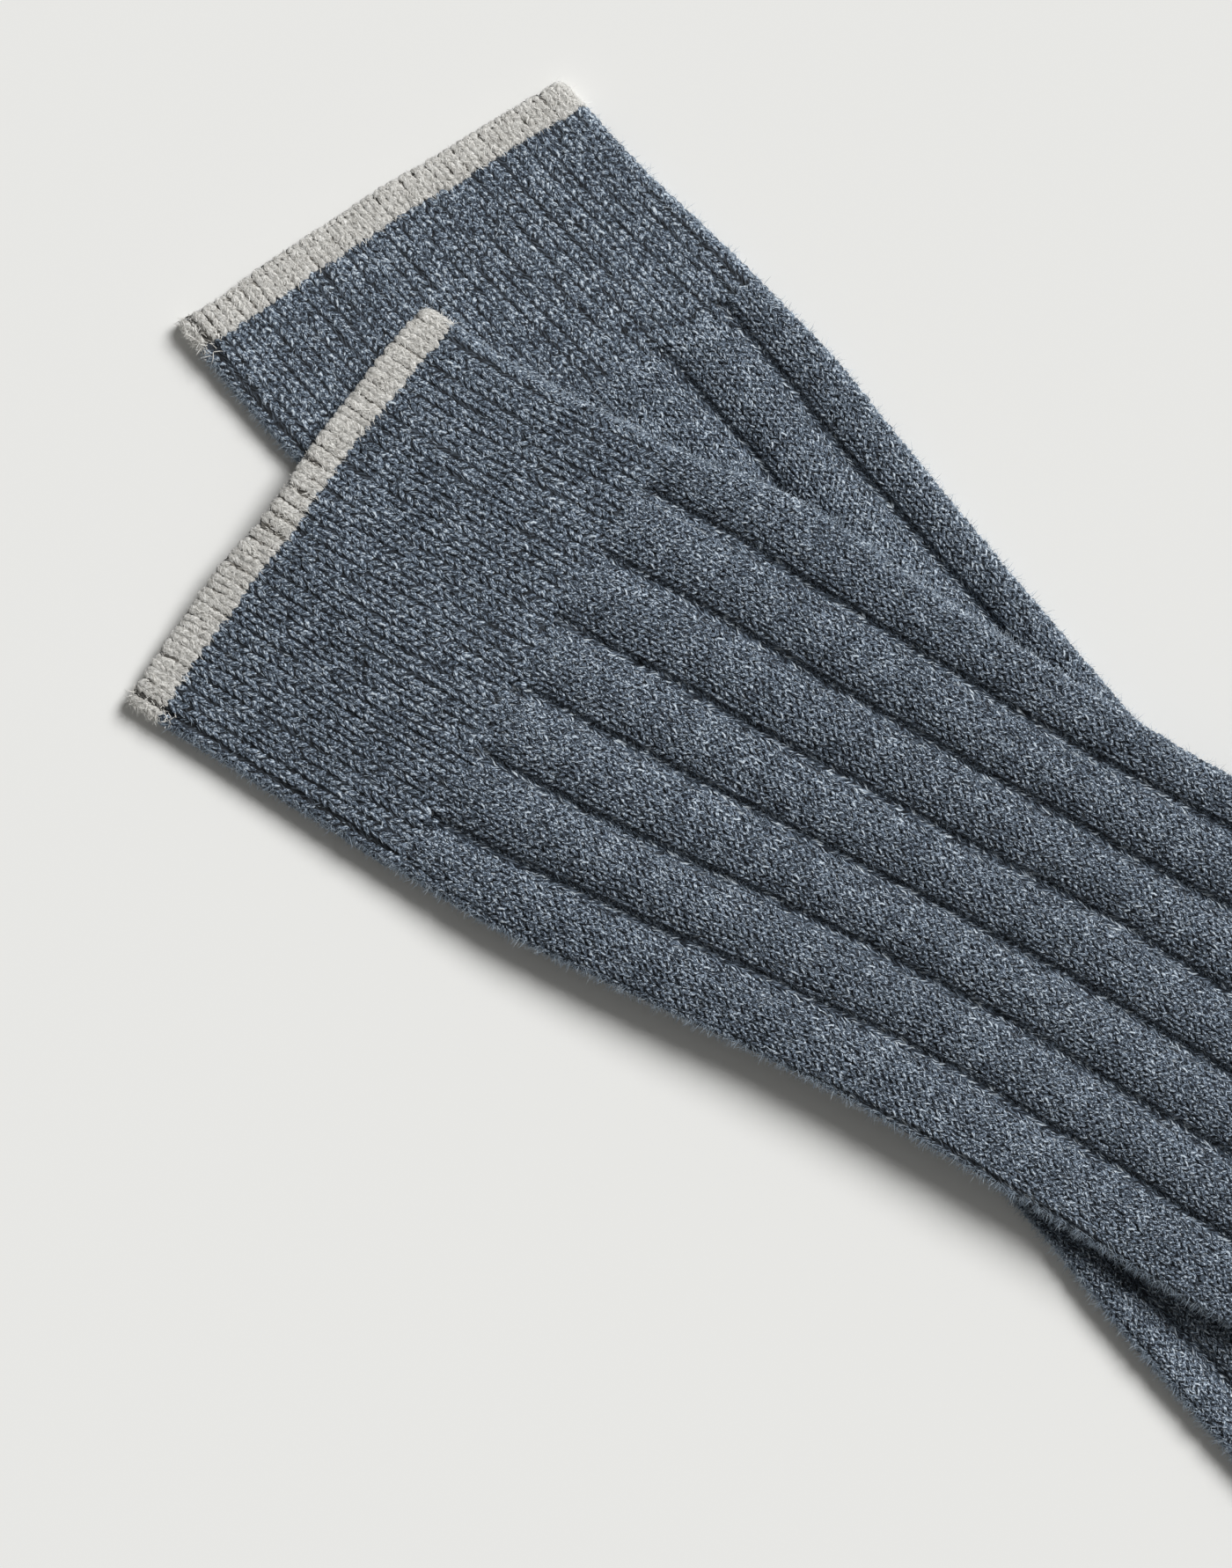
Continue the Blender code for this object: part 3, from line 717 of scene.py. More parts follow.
def add_piece(data, material):
    """Put a mesh in the scene under its own name, as a piece that rides on the one body."""
    piece = bpy.data.objects.new(data.name, data)
    bpy.context.scene.collection.objects.link(piece)
    data.materials.append(material)
    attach(piece, "root")
    return piece


def print_faces(pieces):
    """Say how many faces each piece of a group has."""
    print({key: len(piece.data.polygons) for key, piece in pieces.items()})


def shell_rows(sock, stops, ribbed, point_maker):
    """Points, wale counts and hollows for each stop."""
    points, counts, hollows = [], [], []
    for stop in stops:
        around, under = ring_columns(sock, np.clip(stop, LIP_REACH, SOCK_LENGTH - 1.0), ribbed)
        row, hollow = point_maker(np.full(len(around), stop), around)
        round_again = np.append(around, under)
        wales = wale_count(sock, np.full(len(round_again), stop), round_again)
        points.append(row)
        hollows.append(hollow)
        counts.append(np.stack((wales, np.full(len(wales), stop)), axis=1))
    return points, counts, hollows


def shell(sock, name, outer_stops, inner_stops, ribbed, layer, wraps):
    """A wall's mesh: rows of its outer face and rows of its inner one."""
    outside = shell_rows(sock, outer_stops, ribbed, lambda *place: cloth(sock, *place, layer))
    inside = shell_rows(
        sock, inner_stops, ribbed,
        lambda *place: (inner_points(sock, *place), np.zeros(len(place[0]))))
    first, last = (outside, inside) if wraps else (inside, outside)
    points, counts, hollows = (np.array(a + b) for a, b in zip(first, last))
    return sheet_mesh(f"{sock.name}_{name}", points, counts, hollows, wraps)


def stretch_shell(sock, name, start, end, step, ribbed, layer, material):
    """One open stretch of the tube."""
    outer_rows, inner_rows = (
        max(2, round((end - start) / row_step) + 1) for row_step in (step, INNER_STEP))
    outer_stops = np.linspace(start, end, outer_rows)
    inner_stops = np.linspace(end, max(start, LIP_REACH), inner_rows)
    return add_piece(shell(sock, name, outer_stops, inner_stops, ribbed, layer, True), material)


print("rows from seam to seam of a leg's inner face:", round(ANKLE / INNER_STEP))

# %% [markdown]
# ## Colours
# A screen's hex colours are sRGB, and a shader works in linear light, so one
# function turns the one into the other.  Other small ones add a node or a sum to
# a material.  All the wool here shares one start: matt, with a soft sheen, as
# fibres that stand off the yarn catch light at a low angle.

# %% Colour and node helpers
def linear(hex_colour):
    """An sRGB hex colour as linear red, green, blue and alpha."""
    channels = [int(hex_colour[k:k + 2], 16) / 255.0 for k in (1, 3, 5)]
    lit = [c / 12.92 if c <= 0.04045 else ((c + 0.055) / 1.055) ** 2.4 for c in channels]
    return (*lit, 1.0)


def add_node(tree, kind, links=None, **settings):
    """Add a node: settings by name, and links or values for its inputs."""
    node = tree.nodes.new(kind)
    for name, value in settings.items():
        setattr(node, name, value)
    for key, value in (links or {}).items():
        if isinstance(value, bpy.types.NodeSocket):
            tree.links.new(value, node.inputs[key])
        else:
            node.inputs[key].default_value = value
    return node


def yarn_ramp(tree, factor, stops):
    """A colour ramp from the dark fibres of a yarn to its light ones."""
    ramp = add_node(tree, "ShaderNodeValToRGB", {"Fac": factor})
    elements = ramp.color_ramp.elements
    while len(elements) < len(stops):
        elements.new(0.5)
    for element, (place, colour) in zip(elements, stops):
        element.position = place
        element.color = linear(colour)
    return ramp.outputs["Color"]


def add_maths(tree, operation, *values, clamp=False):
    """Add a sum of sockets or numbers, and give its result's socket."""
    links = dict(enumerate(values))
    return add_node(
        tree, "ShaderNodeMath", links, operation=operation, use_clamp=clamp).outputs[0]


def add_streaks(tree, x, y, tone, tone_step):
    """Noise at a place on a strand.  Each tone gets streaks of its own."""
    z = add_maths(tree, "MULTIPLY", tone, tone_step)
    place = add_node(tree, "ShaderNodeCombineXYZ", {"X": x, "Y": y, "Z": z}).outputs[0]
    return add_node(
        tree, "ShaderNodeTexNoise",
        {"Vector": place, "Scale": 1.0, "Detail": 1.0, "Roughness": 0.6}).outputs["Fac"]


def add_bump(tree, shader, height, distance):
    """Tilt a shader's normal by a relief of the given depth."""
    bump = add_node(
        tree, "ShaderNodeBump", {"Height": height, "Distance": distance, "Strength": 1.0})
    tree.links.new(bump.outputs["Normal"], shader.inputs["Normal"])


def wool(name, roughness, sheen_tint):
    """A new wool material, its node tree and its shader."""
    material = bpy.data.materials.new(name)
    material.use_nodes = True
    shader = material.node_tree.nodes["Principled BSDF"]
    for setting, value in (
            ("Roughness", roughness), ("Specular IOR Level", 0.25), ("Sheen Weight", 0.35),
            ("Sheen Roughness", 0.55), ("Sheen Tint", linear(sheen_tint))):
        shader.inputs[setting].default_value = value
    return material, material.node_tree, shader


print("melange mid blue:", [round(v, 3) for v in linear("#56606b")])

# %% [markdown]
# ## Melange lambswool, brushed
# The blue yarn is spun from fibres dyed several shades, then the cloth is
# lightly brushed.  The eye sees navy, slate and pale blue flecks that lean left
# and right by turns, as the legs of each stitch do.  The material works out
# which stitch leg a point is on from the UV map's wales and millimetres, gives
# each leg its own tone, and adds streaks that follow the leg's lean.  It shows on
# the undersides and the toes, where drawn stitches are enough.

# %% Brushed knit material
BLUE_STOPS = (
    (0.00, "#181d25"), (0.24, "#394450"), (0.48, "#5a6573"),
    (0.70, "#798797"), (0.86, "#9ca9b8"), (1.00, "#cbd5dd"),
)
PALE_STOPS = ((0.00, "#8f8c87"), (0.30, "#b4b2ad"), (0.62, "#cecdc9"), (1.00, "#edece9"))
COURSE_MM = 1.45
LEG_LEAN = 1.25         # courses that a stitch leg climbs from its wale's edge to its middle
STITCH_HEIGHT = 0.34 * MM
STRAY_SCALE = 0.75      # of the noise that bends the drawn wales and courses
COURSE_STRAY = 1.3      # courses bend this much more than wales
PATCH_SCALE = 0.13      # of the broad patches of tone
LEG_ROUNDNESS = 0.55    # below 1 a drawn stitch leg is plump, and its ends are blunt
LEG_BLUNTNESS = 0.35
STREAKS = (1.5, 1.7)    # fibre streaks along a stitch leg and across it
# the colour also darkens where a drawn stitch leg sinks between its neighbours: painted shade
TONE_SHARE, STREAK_SHARE, PATCH_SHARE, HEIGHT_SHADE_SHARE = 0.5, 4.0, 0.25, 0.5   # in the colour
MEAN_TONE, MEAN_HEIGHT = 0.52, 0.75
STREAK_RELIEF = 0.6     # beside a stitch leg's own height
HOLLOW_COLOUR = "#141312"   # little light, and a brown cast, reach the bottom of a groove
# how far a groove's bottom goes toward that colour: painted shade
HOLLOW_SHADE_STRENGTH = 0.74


def knit_material(name, stops, brushed):
    """Plain knit cloth, drawn stitch by stitch from the UV map, less even where brushed."""
    material, tree, shader = wool(name, 0.92, "#c9d2dc")
    node, maths = partial(add_node, tree), partial(add_maths, tree)

    uv = node("ShaderNodeUVMap", uv_map="knit").outputs["UV"]
    stray = node("ShaderNodeTexNoise", {"Vector": uv, "Scale": STRAY_SCALE, "Detail": 1.0})
    stray_xyz = node("ShaderNodeSeparateXYZ", {"Vector": stray.outputs["Color"]})
    places = node("ShaderNodeSeparateXYZ", {"Vector": uv})
    wander = maths("MULTIPLY_ADD", stray_xyz.outputs["X"], brushed, places.outputs["X"])
    drift = maths(
        "MULTIPLY_ADD", stray_xyz.outputs["Y"], COURSE_STRAY * brushed, places.outputs["Y"])

    peak = maths("PINGPONG", wander, 0.5)
    course = maths("MULTIPLY_ADD", peak, 2.0 * LEG_LEAN, maths("DIVIDE", drift, COURSE_MM))
    leg = maths("MULTIPLY", wander, 2.0)
    leg_id = node(
        "ShaderNodeCombineXYZ", {"X": maths("FLOOR", leg), "Y": maths("FLOOR", course)})
    tone = node(
        "ShaderNodeTexWhiteNoise", {"Vector": leg_id.outputs[0]}, noise_dimensions="2D"
    ).outputs["Value"]

    bulge = maths("PINGPONG", maths("FRACT", course), 0.5)
    along_leg = maths("PINGPONG", maths("FRACT", leg), 0.5)
    roundness = maths("POWER", maths("MULTIPLY", bulge, 2.0), LEG_ROUNDNESS)
    taper = maths("POWER", maths("MULTIPLY", along_leg, 2.0), LEG_BLUNTNESS)
    yarn_height = maths("MULTIPLY", roundness, taper)

    streak = add_streaks(
        tree, maths("MULTIPLY", leg, STREAKS[0]), maths("MULTIPLY", course, STREAKS[1]), tone,
        40.0)
    patch = node(
        "ShaderNodeTexNoise", {"Vector": uv, "Scale": PATCH_SCALE, "Detail": 2.0}
    ).outputs["Fac"]

    # tone, streaks and patches are the yarn's own; the stitch's height darkens its low edges as
    # painted shade
    mix = MEAN_TONE
    for part, middle, share in (
            (tone, 0.5, TONE_SHARE), (streak, 0.5, STREAK_SHARE), (patch, 0.5, PATCH_SHARE),
            (yarn_height, MEAN_HEIGHT, HEIGHT_SHADE_SHARE)):
        mix = maths(
            "MULTIPLY_ADD", maths("SUBTRACT", part, middle), share, mix,
            clamp=part is yarn_height)
    # painted shade: in grooves, creases and the gaps between stitches the colour goes toward the
    # dark hollow colour
    hollow = node("ShaderNodeAttribute", attribute_name="hollow").outputs["Fac"]
    shaded = node(
        "ShaderNodeMix", {"Factor": maths("MULTIPLY", hollow, HOLLOW_SHADE_STRENGTH)},
        data_type="RGBA", blend_type="MIX")
    tree.links.new(yarn_ramp(tree, mix, stops), shaded.inputs["A"])
    shaded.inputs["B"].default_value = linear(HOLLOW_COLOUR)
    tree.links.new(shaded.outputs["Result"], shader.inputs["Base Color"])
    relief = maths("MULTIPLY_ADD", streak, STREAK_RELIEF, yarn_height)
    add_bump(tree, shader, relief, STITCH_HEIGHT)
    return material


brushed_blue = knit_material("brushed_melange_lambswool", BLUE_STOPS, 0.55)
rib_width = (TOP_LEG[0].back_groove + TOP_LEG[0].front_groove) / (GROOVES - 1)
print("a wale is", round(rib_width / WALES_PER_RIB, 2), "mm wide, a course", COURSE_MM, "mm high")

# %% [markdown]
# ## Yarn for single stitches
# The stitches are large enough to see one by one, so they are real strands.
# Each strand keeps its own tone in an attribute, and short streaks along it show
# the fibres that were spun together.  A real fibre is 0.03 mm thick, too fine for
# the render, so the streaks are drawn about 0.2 mm wide.

# %% Yarn material
FIBRE_RELIEF = 0.12 * MM
STREAKS_ALONG = 2.0     # for each millimetre of a strand


def yarn_material(name, stops, strand_contrast, fibre_contrast, rim_shade,
                  streaks_across=3.0, mean_tone=0.5):
    """Woollen yarn, whose tone comes from each strand's own attribute.

    rim_shade darkens a strand towards its sides, where the next one shades it.
    """
    material, tree, shader = wool(name, 0.9, "#cfd6de")
    node, maths = partial(add_node, tree), partial(add_maths, tree)

    strand = node("ShaderNodeAttribute", attribute_name="strand").outputs["Vector"]
    tone, length, across = node("ShaderNodeSeparateXYZ", {"Vector": strand}).outputs
    fibre = add_streaks(
        tree, maths("MULTIPLY", length, STREAKS_ALONG), maths("MULTIPLY", across, streaks_across),
        tone, 57.0)
    mix = maths("MULTIPLY_ADD", maths("SUBTRACT", tone, 0.5), strand_contrast, mean_tone)
    mix = maths("MULTIPLY_ADD", maths("ABSOLUTE", across), -rim_shade, mix)
    mix = maths("MULTIPLY_ADD", maths("SUBTRACT", fibre, 0.5), fibre_contrast, mix, clamp=True)
    tree.links.new(yarn_ramp(tree, mix, stops), shader.inputs["Base Color"])
    if rim_shade:
        add_bump(tree, shader, fibre, FIBRE_RELIEF)
    return material


blue_yarn = yarn_material("melange_lambswool_yarn", BLUE_STOPS, 0.62, 3.3, 0.38, 2.0, 0.60)
pale_yarn = yarn_material("ecru_lambswool_yarn", PALE_STOPS, 0.30, 2.0, 0.15)
# the ground between the stitches is the same yarn, coloured darker here as painted shade in the
# gaps
BLUE_GROUND_SHADE_STOPS = ((0.00, "#15181c"), (1.00, "#474f59"))
PALE_GROUND_SHADE_STOPS = ((0.00, "#46423c"), (1.00, "#8d8982"))
blue_ground_in_shade = knit_material("purl_ground_between_stitches", BLUE_GROUND_SHADE_STOPS, 0.4)
pale_ground_in_shade = knit_material("ecru_ground_between_stitches", PALE_GROUND_SHADE_STOPS, 0.4)
print("yarn materials:", blue_yarn.name, pale_yarn.name)

# %% [markdown]
# ## Leg, foot and toe
# These are knit on from the cuff without a cut, so each is a fine shell on its
# solid's form, and its map runs on over the seam.  Under the stitches of the leg
# and foot the shell lies a little deeper, as the shaded ground between them.

# %% Shells of leg, foot and toe
SEAM_HALF = 0.15        # shells meet in the middle of the solids' seam gap
LEG_STEP = 2.2
FOOT_STEP = 2.8
GAP_SHADE = 0.55        # little light reaches the gaps between the stitches
STITCH_SINK = 0.20      # stitches start this far below the solid's face
GROUND_DROP = 0.50      # and the ground between them this far
TOE_ROWS = 34
TOE_CLOSING = 1.7       # above 1 the rows close up towards the tip
TOE_LAST = 0.06         # to the power above, what is left of the toe past the last row
TOE_INNER_END = 4.0     # the inner face stops this short of the tip


def stitched_rib(sock, along, across, width):
    """Wide rib whose ground lies in the shade of the stitches on it."""
    depth, groove = wide_rib(sock, along, across, width)
    return depth + GROUND_DROP, np.maximum(groove, GAP_SHADE)


def closed_toe(sock, material):
    """The toe, whose rows close on its tip."""
    past = 1.0 - np.linspace(1.0, TOE_LAST, TOE_ROWS) ** TOE_CLOSING
    stops = TOE_START - SEAM_HALF + (TOE_LENGTH + SEAM_HALF) * past
    inner_stops = stops[stops < SOCK_LENGTH - TOE_INNER_END][::-2]
    return add_piece(shell(sock, "toe_cloth", stops, inner_stops, False, PLAIN, False), material)


shells = {}
for sock in SOCKS:
    for name, start, end, step in (
            ("leg", sock.cuff + SEAM_HALF, ANKLE - SEAM_HALF, LEG_STEP),
            ("foot", ANKLE - SEAM_HALF, TOE_START - SEAM_HALF, FOOT_STEP)):
        shells[sock.name, name] = stretch_shell(
            sock, f"{name}_cloth", start, end, step, True, Layer(stitched_rib, 0.0), brushed_blue)
    shells[sock.name, "toe"] = closed_toe(sock, brushed_blue)
print_faces(shells)

# %% [markdown]
# ## Stitches as strands of yarn
# A knit stitch shows two legs that lean together into a V, which points to the
# sock's mouth as the tube was started there.  Each leg here is a short plump
# strand with its lower half left off, as that lies in the cloth.  All the strands
# of a piece are one joined mesh, placed by numpy in one step.

# %% Strand helper
# A strand's length is in courses, its width in wales and its thickness in mm.  Its
# sections lie at places along it, each with a share of its width.
Strand = namedtuple("Strand", "length width thickness places widths")
LARGE_SECTIONS = ((-0.30, 0.0, 0.30), (0.86, 1.0, 0.80))
CUFF_STRANDS = {
    "top_sock": Strand(1.50, 0.37, 0.92, *LARGE_SECTIONS),
    "under_sock": Strand(1.50, 0.43, 0.82, *LARGE_SECTIONS),
}
WELT_STRAND = Strand(1.50, 0.54, 0.84, *LARGE_SECTIONS)
LEG_STRAND = Strand(1.46, 0.44, 0.84, (-0.22, 0.24), (1.0, 0.92))
ARCH = 0.35             # a strand's ends dive into the cloth by this share of its half thickness
LOWEST = 0.05 * MM      # nothing reaches nearer to the floor than this


def strand_template(strand):
    """Points and faces of the upper half of a strand that lies along X."""
    points = [(-0.5, 0.0, 0.0)]
    for place, width in zip(strand.places, strand.widths):
        points += [(place, -width, 0.0), (place, 0.0, width), (place, width, 0.0)]
    points.append((0.5, 0.0, 0.0))
    tip = len(points) - 1
    faces = [(0, 1, 2), (0, 2, 3)]
    for left in range(4, tip, 3):
        before = left - 3
        for side in (0, 1):
            near, far = before + side, left + side
            faces += [(near, far, far + 1), (near, far + 1, near + 1)]
    faces += [(tip - 3, tip, tip - 2), (tip - 2, tip, tip - 1)]
    return np.array(points), np.array(faces)


def unit(vectors):
    """Vectors at length 1."""
    return vectors / np.linalg.norm(vectors, axis=-1, keepdims=True)


def joined_mesh(name, points, shape_faces, values):
    """One mesh of many copies of a small shape, with a tone and a place for each point."""
    copies, corners = points.shape[:2]
    points[..., 2] = np.maximum(points[..., 2], LOWEST)
    offsets = corners * np.arange(copies)[:, None, None]
    data = bpy.data.meshes.new(name)
    data.from_pydata(
        points.reshape(-1, 3), [], (shape_faces[None] + offsets).reshape(-1, 3))
    layer = data.attributes.new("strand", "FLOAT_VECTOR", "POINT")
    layer.data.foreach_set("vector", values.ravel())
    return data


def strands_mesh(name, strand, centre, along, normal, length, width, thickness, tone):
    """Join many strands into one mesh.  Lengths are in metres, one for each strand."""
    shape, faces = strand_template(strand)
    side = unit(np.cross(normal, along))
    up = np.cross(along, side)
    arched = shape[:, 2] - ARCH * (shape[:, 0] * 2.0) ** 2
    x = shape[None, :, 0, None] * (length[:, None] * along)[:, None]
    y = shape[None, :, 1, None] * (0.5 * width[:, None] * side)[:, None]
    z = arched[None, :, None] * (0.5 * thickness[:, None] * up)[:, None]
    values = np.empty((len(centre), len(shape), 3), dtype=np.float32)
    values[..., 0] = tone[:, None]
    values[..., 1] = shape[None, :, 0] * (length[:, None] / MM)
    values[..., 2] = shape[None, :, 1]
    data = joined_mesh(name, centre[:, None] + x + y + z, faces, values)
    data.shade_smooth()
    return data


for kind in (WELT_STRAND, LEG_STRAND):
    print("triangles in a strand:", len(strand_template(kind)[1]))

# %% [markdown]
# ## Laying strands on the cloth
# A strand needs to know where the cloth is, which way it faces and how the
# wales run there.  Small steps down and round the tube give all three, and say
# how far the knit is stretched, as it is round the heel.

# %% Local frames
PROBE = 0.25            # the small step
V_LEAN = math.radians(26)
SLIT_BARE = 0.62        # no stitch shows where the cloth sinks deeper into a groove than this
HIDDEN_BELOW = -4.0     # nothing is laid this far in under the top sock
SLOW_TONE = Ripple(70, 9.0, 0.15)       # shades of the spun yarn
QUICK_TONE = Ripple(71, 3.1, 0.08)
TONE_SPREAD = 0.09
LENGTH_SPREAD = (0.88, 1.12)            # of hand-laid stitches
WIDTH_SPREAD = (0.86, 1.10)
THICKNESS_SPREAD = (0.82, 1.18)
# a strand deep in a groove and in the crease is drawn darker: painted shade
HOLLOW_SHADE_ON_TONE = 0.7       # the share of its tone that a strand loses deep in a groove


def cloth_frame(sock, along, around, rise, layer):
    """Point, ways down and round the sock, normal, depth in a groove, and stretch."""
    here, hollow = cloth(sock, along, around, layer)
    down = (cloth(sock, along + PROBE, around, layer)[0] - here) / (PROBE * MM)
    stretch = np.linalg.norm(down, axis=1)
    across = unit(cloth(sock, along, around + PROBE, layer)[0] - here)
    normal = unit(np.cross(across, down))
    return here + normal * (rise * MM)[:, None], unit(down), across, normal, hollow, stretch


def is_open_to_view(sock, points):
    """Whether points on a sock are clear of the other one on top."""
    if sock.below is not None:
        return np.ones(len(points), dtype=bool)
    return distance_outside(outline(TOP_SOCK), points[:, :2] / MM - LAYOUT_ZERO) > HIDDEN_BELOW


def yarn_tone(sock, along, around, course, rng):
    """Tone from 0 to 1.  The yarn runs round the tube, so a shade lasts along a course."""
    count = along / course
    tone = sock.shade + ripple(sock, SLOW_TONE, around, count)
    tone = tone + ripple(sock, QUICK_TONE, around, count)
    return np.clip(tone + rng.normal(0.0, TONE_SPREAD, len(along)), 0.0, 1.0)


def lay_strands(sock, name, strand, course, wale, along, around, side, rise, layer, spread,
                material, rng):
    """Lay a strand at each place, leaning to its side, and join them into a piece."""
    amount = len(along)
    centre, down, across, normal, hollow, stretch = cloth_frame(
        sock, along, around, rise, layer)
    lean = V_LEAN + rng.normal(0.0, spread, amount)
    forward = stretch * np.cos(lean)
    sideways = side * np.sin(lean)
    direction = unit(down * forward[:, None] + across * sideways[:, None])
    keep = (hollow < SLIT_BARE) & is_open_to_view(sock, centre)
    # the last part is the tone, with painted shade deep in grooves and the crease
    parts = (
        centre, direction, normal,
        strand.length * course * MM * np.hypot(forward, sideways)
        * rng.uniform(*LENGTH_SPREAD, amount),
        strand.width * wale * MM * rng.uniform(*WIDTH_SPREAD, amount),
        strand.thickness * MM * rng.uniform(*THICKNESS_SPREAD, amount),
        yarn_tone(sock, along, around, course, rng) * (1.0 - HOLLOW_SHADE_ON_TONE * hollow))
    return add_piece(strands_mesh(name, strand, *(part[keep] for part in parts)), material)


print("probe step:", PROBE, "mm")

# %% [markdown]
# ## Cuff in 1 by 1 rib
# One knit wale stands up and one purl wale sinks behind it, so the eye sees
# columns of plump V stitches with thin dark gaps, 2.9 mm apart.  The gaps open
# and close as hand-laid ribbing does, and two stay open beside the folds.

# %% Cuff stitches
CUFF_COLUMNS = 31
CUFF_FROM_FOLD = 0.6
CUFF_DROPS = {"top_sock": 0.54, "under_sock": 0.36}     # from the crown to the ground in the gaps
STRAND_SINK = 0.34      # a strand's middle lies this far below the crown
V_HALF = 0.245          # from a column's middle to its stitch legs, as a share of the pitch
CUFF_RUN_ON = 3.2       # the last cuff stitches thin out and sink into the leg over this length
GAP_WIDTH = 0.17        # the most that a gap between two columns opens on each side
GAP_BIAS = 0.15         # a gap is open along a little more than half of its length
SPARE_COLUMNS = 2       # laid on past each fold
COLUMN_STRAYS = ((Ripple(11, 9.0, 0.06), 1.37), (Ripple(12, 3.0, 0.05), 1.91))
GAP_SEED, GAP_SPACING, GAP_LINE = 13, 8.0, 1.7
COURSE_SWAY = 0.22      # courses sway across the columns by this share of their height
CUFF_SPREAD = 0.13      # of the stitches' lean
CUFF_STEP = 1.6
FIRST_AWAY = 0.75       # from the welt's seam to the first course on either side of it
SINK_AT_END = 0.2       # how far the cuff's last stitches sink
CUFF_JITTER = (0.10, 0.06, 0.05)        # mm down the sock, round it and up
# A cleft parts two columns, counted from the back fold, about a place down the sock.
Cleft = namedtuple("Cleft", "column along length width")
CUFF_CLEFTS = {
    "top_sock": (Cleft(1, 12.0, 11.0, 0.26), Cleft(30, 10.0, 50.0, 0.26)),
    "under_sock": (Cleft(1, 38.0, 14.0, 0.24), Cleft(30, 10.0, 40.0, 0.26)),
}


def column_middles(sock, along, column):
    """Where a column's middle lies, measured round the tube, and the step between columns."""
    upper_run, _ = runs(span(sock, along)[2])
    pitch = (upper_run - 2.0 * CUFF_FROM_FOLD) / CUFF_COLUMNS
    stray = sum(ripple(sock, kind, along, column * line) for kind, line in COLUMN_STRAYS)
    return CUFF_FROM_FOLD + (column + 0.5) * pitch + stray * pitch, pitch


def column_stitches(sock, name, strand, courses, material, seed, drop, clefts):
    """V stitches in the columns of 1 by 1 rib, at the given places down the sock."""
    rng = np.random.default_rng(seed + sock.seed)
    column, along, side = (v.ravel() for v in np.meshgrid(
        np.arange(-SPARE_COLUMNS, CUFF_COLUMNS + SPARE_COLUMNS), courses, (-1.0, 1.0),
        indexing="ij"))
    past_cuff = np.clip((along - sock.cuff) / CUFF_RUN_ON, 0.0, 1.0)
    stays = rng.uniform(0.0, 1.0, len(column)) > past_cuff
    column, along, side, past_cuff = (v[stays] for v in (column, along, side, past_cuff))
    amount = len(column)
    sway = hills(sock.seed + 5, column * 0.9, along / 21.0)
    along = along + COURSE_SWAY * sock.course * sway
    along = along + rng.normal(0.0, CUFF_JITTER[0], amount)
    middle, pitch = column_middles(sock, np.maximum(along, LIP_REACH), column)
    edge = column + 0.5 + 0.5 * side
    gap = hills(sock.seed + GAP_SEED, along / GAP_SPACING, edge * GAP_LINE) + GAP_BIAS
    gap = GAP_WIDTH * np.clip(gap, 0.0, 1.0)
    for cleft in clefts:
        opened = (edge == cleft.column) * np.exp(-((along - cleft.along) / cleft.length) ** 4)
        gap = gap + cleft.width * opened
    around = middle + side * (V_HALF * pitch - gap) + rng.normal(0.0, CUFF_JITTER[1], amount)
    rise = drop - STRAND_SINK - 0.5 * gap - SINK_AT_END * past_cuff
    rise = rise + rng.normal(0.0, CUFF_JITTER[2], amount)
    return lay_strands(
        sock, name, strand, sock.course, pitch - gap, along, around, side, rise,
        Layer(None, drop), CUFF_SPREAD, material, rng)


stitches = {}
for sock in SOCKS:
    # the cuff's ground shows through the gaps between columns, darker than the yarn: painted
    # shade
    shells[sock.name, "cuff"] = stretch_shell(
        sock, "cuff_ground", WELT_LENGTH - SEAM_HALF, sock.cuff + SEAM_HALF, CUFF_STEP, False,
        Layer(None, CUFF_DROPS[sock.name]), blue_ground_in_shade)
    stitches[sock.name, "cuff"] = column_stitches(
        sock, f"{sock.name}_cuff_stitches", CUFF_STRANDS[sock.name],
        np.arange(WELT_LENGTH + FIRST_AWAY, sock.cuff + CUFF_RUN_ON, sock.course),
        blue_yarn, 100, CUFF_DROPS[sock.name], CUFF_CLEFTS[sock.name])
print_faces(stitches)

# %% [markdown]
# ## Stitches of the wide rib
# Below the cuff every wale is 1.9 mm wide.  Each knit wale gets its two rows of
# stitch legs, and the purl wale in each groove stays bare and dark, so the
# groove's edges are as ragged as yarn makes them.

# %% Leg and foot stitches
STITCHED = Layer(wide_rib, STITCH_SINK)
WALE_HALF = 0.25        # from a wale's middle to its stitch legs, in wales
FIRST_COURSE = 1.0      # the first fine stitches lie this far past the cuff
FOOT_GAP = 0.4          # and those of the foot this far past the leg's
LEG_SWAY = 0.3
LEG_SPREAD = 0.14
PAST_FOLD = 0.8         # stitches go on round the folds this far
LEG_RISE = -0.10
LEG_JITTER = (0.12, 0.07, 0.05)


def wale_places(sock, along, wale):
    """Where a wale lies, measured round the tube, how wide it is, and the upper face's run."""
    _, _, width = span(sock, along)
    first, pitch = groove_places(sock, along, width)
    rib = np.clip(wale / WALES_PER_RIB, 0.0, GROOVES - 1.0)
    low = np.floor(rib)
    high = np.minimum(low + 1.0, GROOVES - 1.0)
    wander = groove_wander(sock, low, along) * (1.0 - (rib - low))
    wander = wander + groove_wander(sock, high, along) * (rib - low)
    upper_run, _ = runs(width)
    wale_width = pitch / WALES_PER_RIB
    return across_to_around(first + wander) + wale * wale_width, wale_width, upper_run


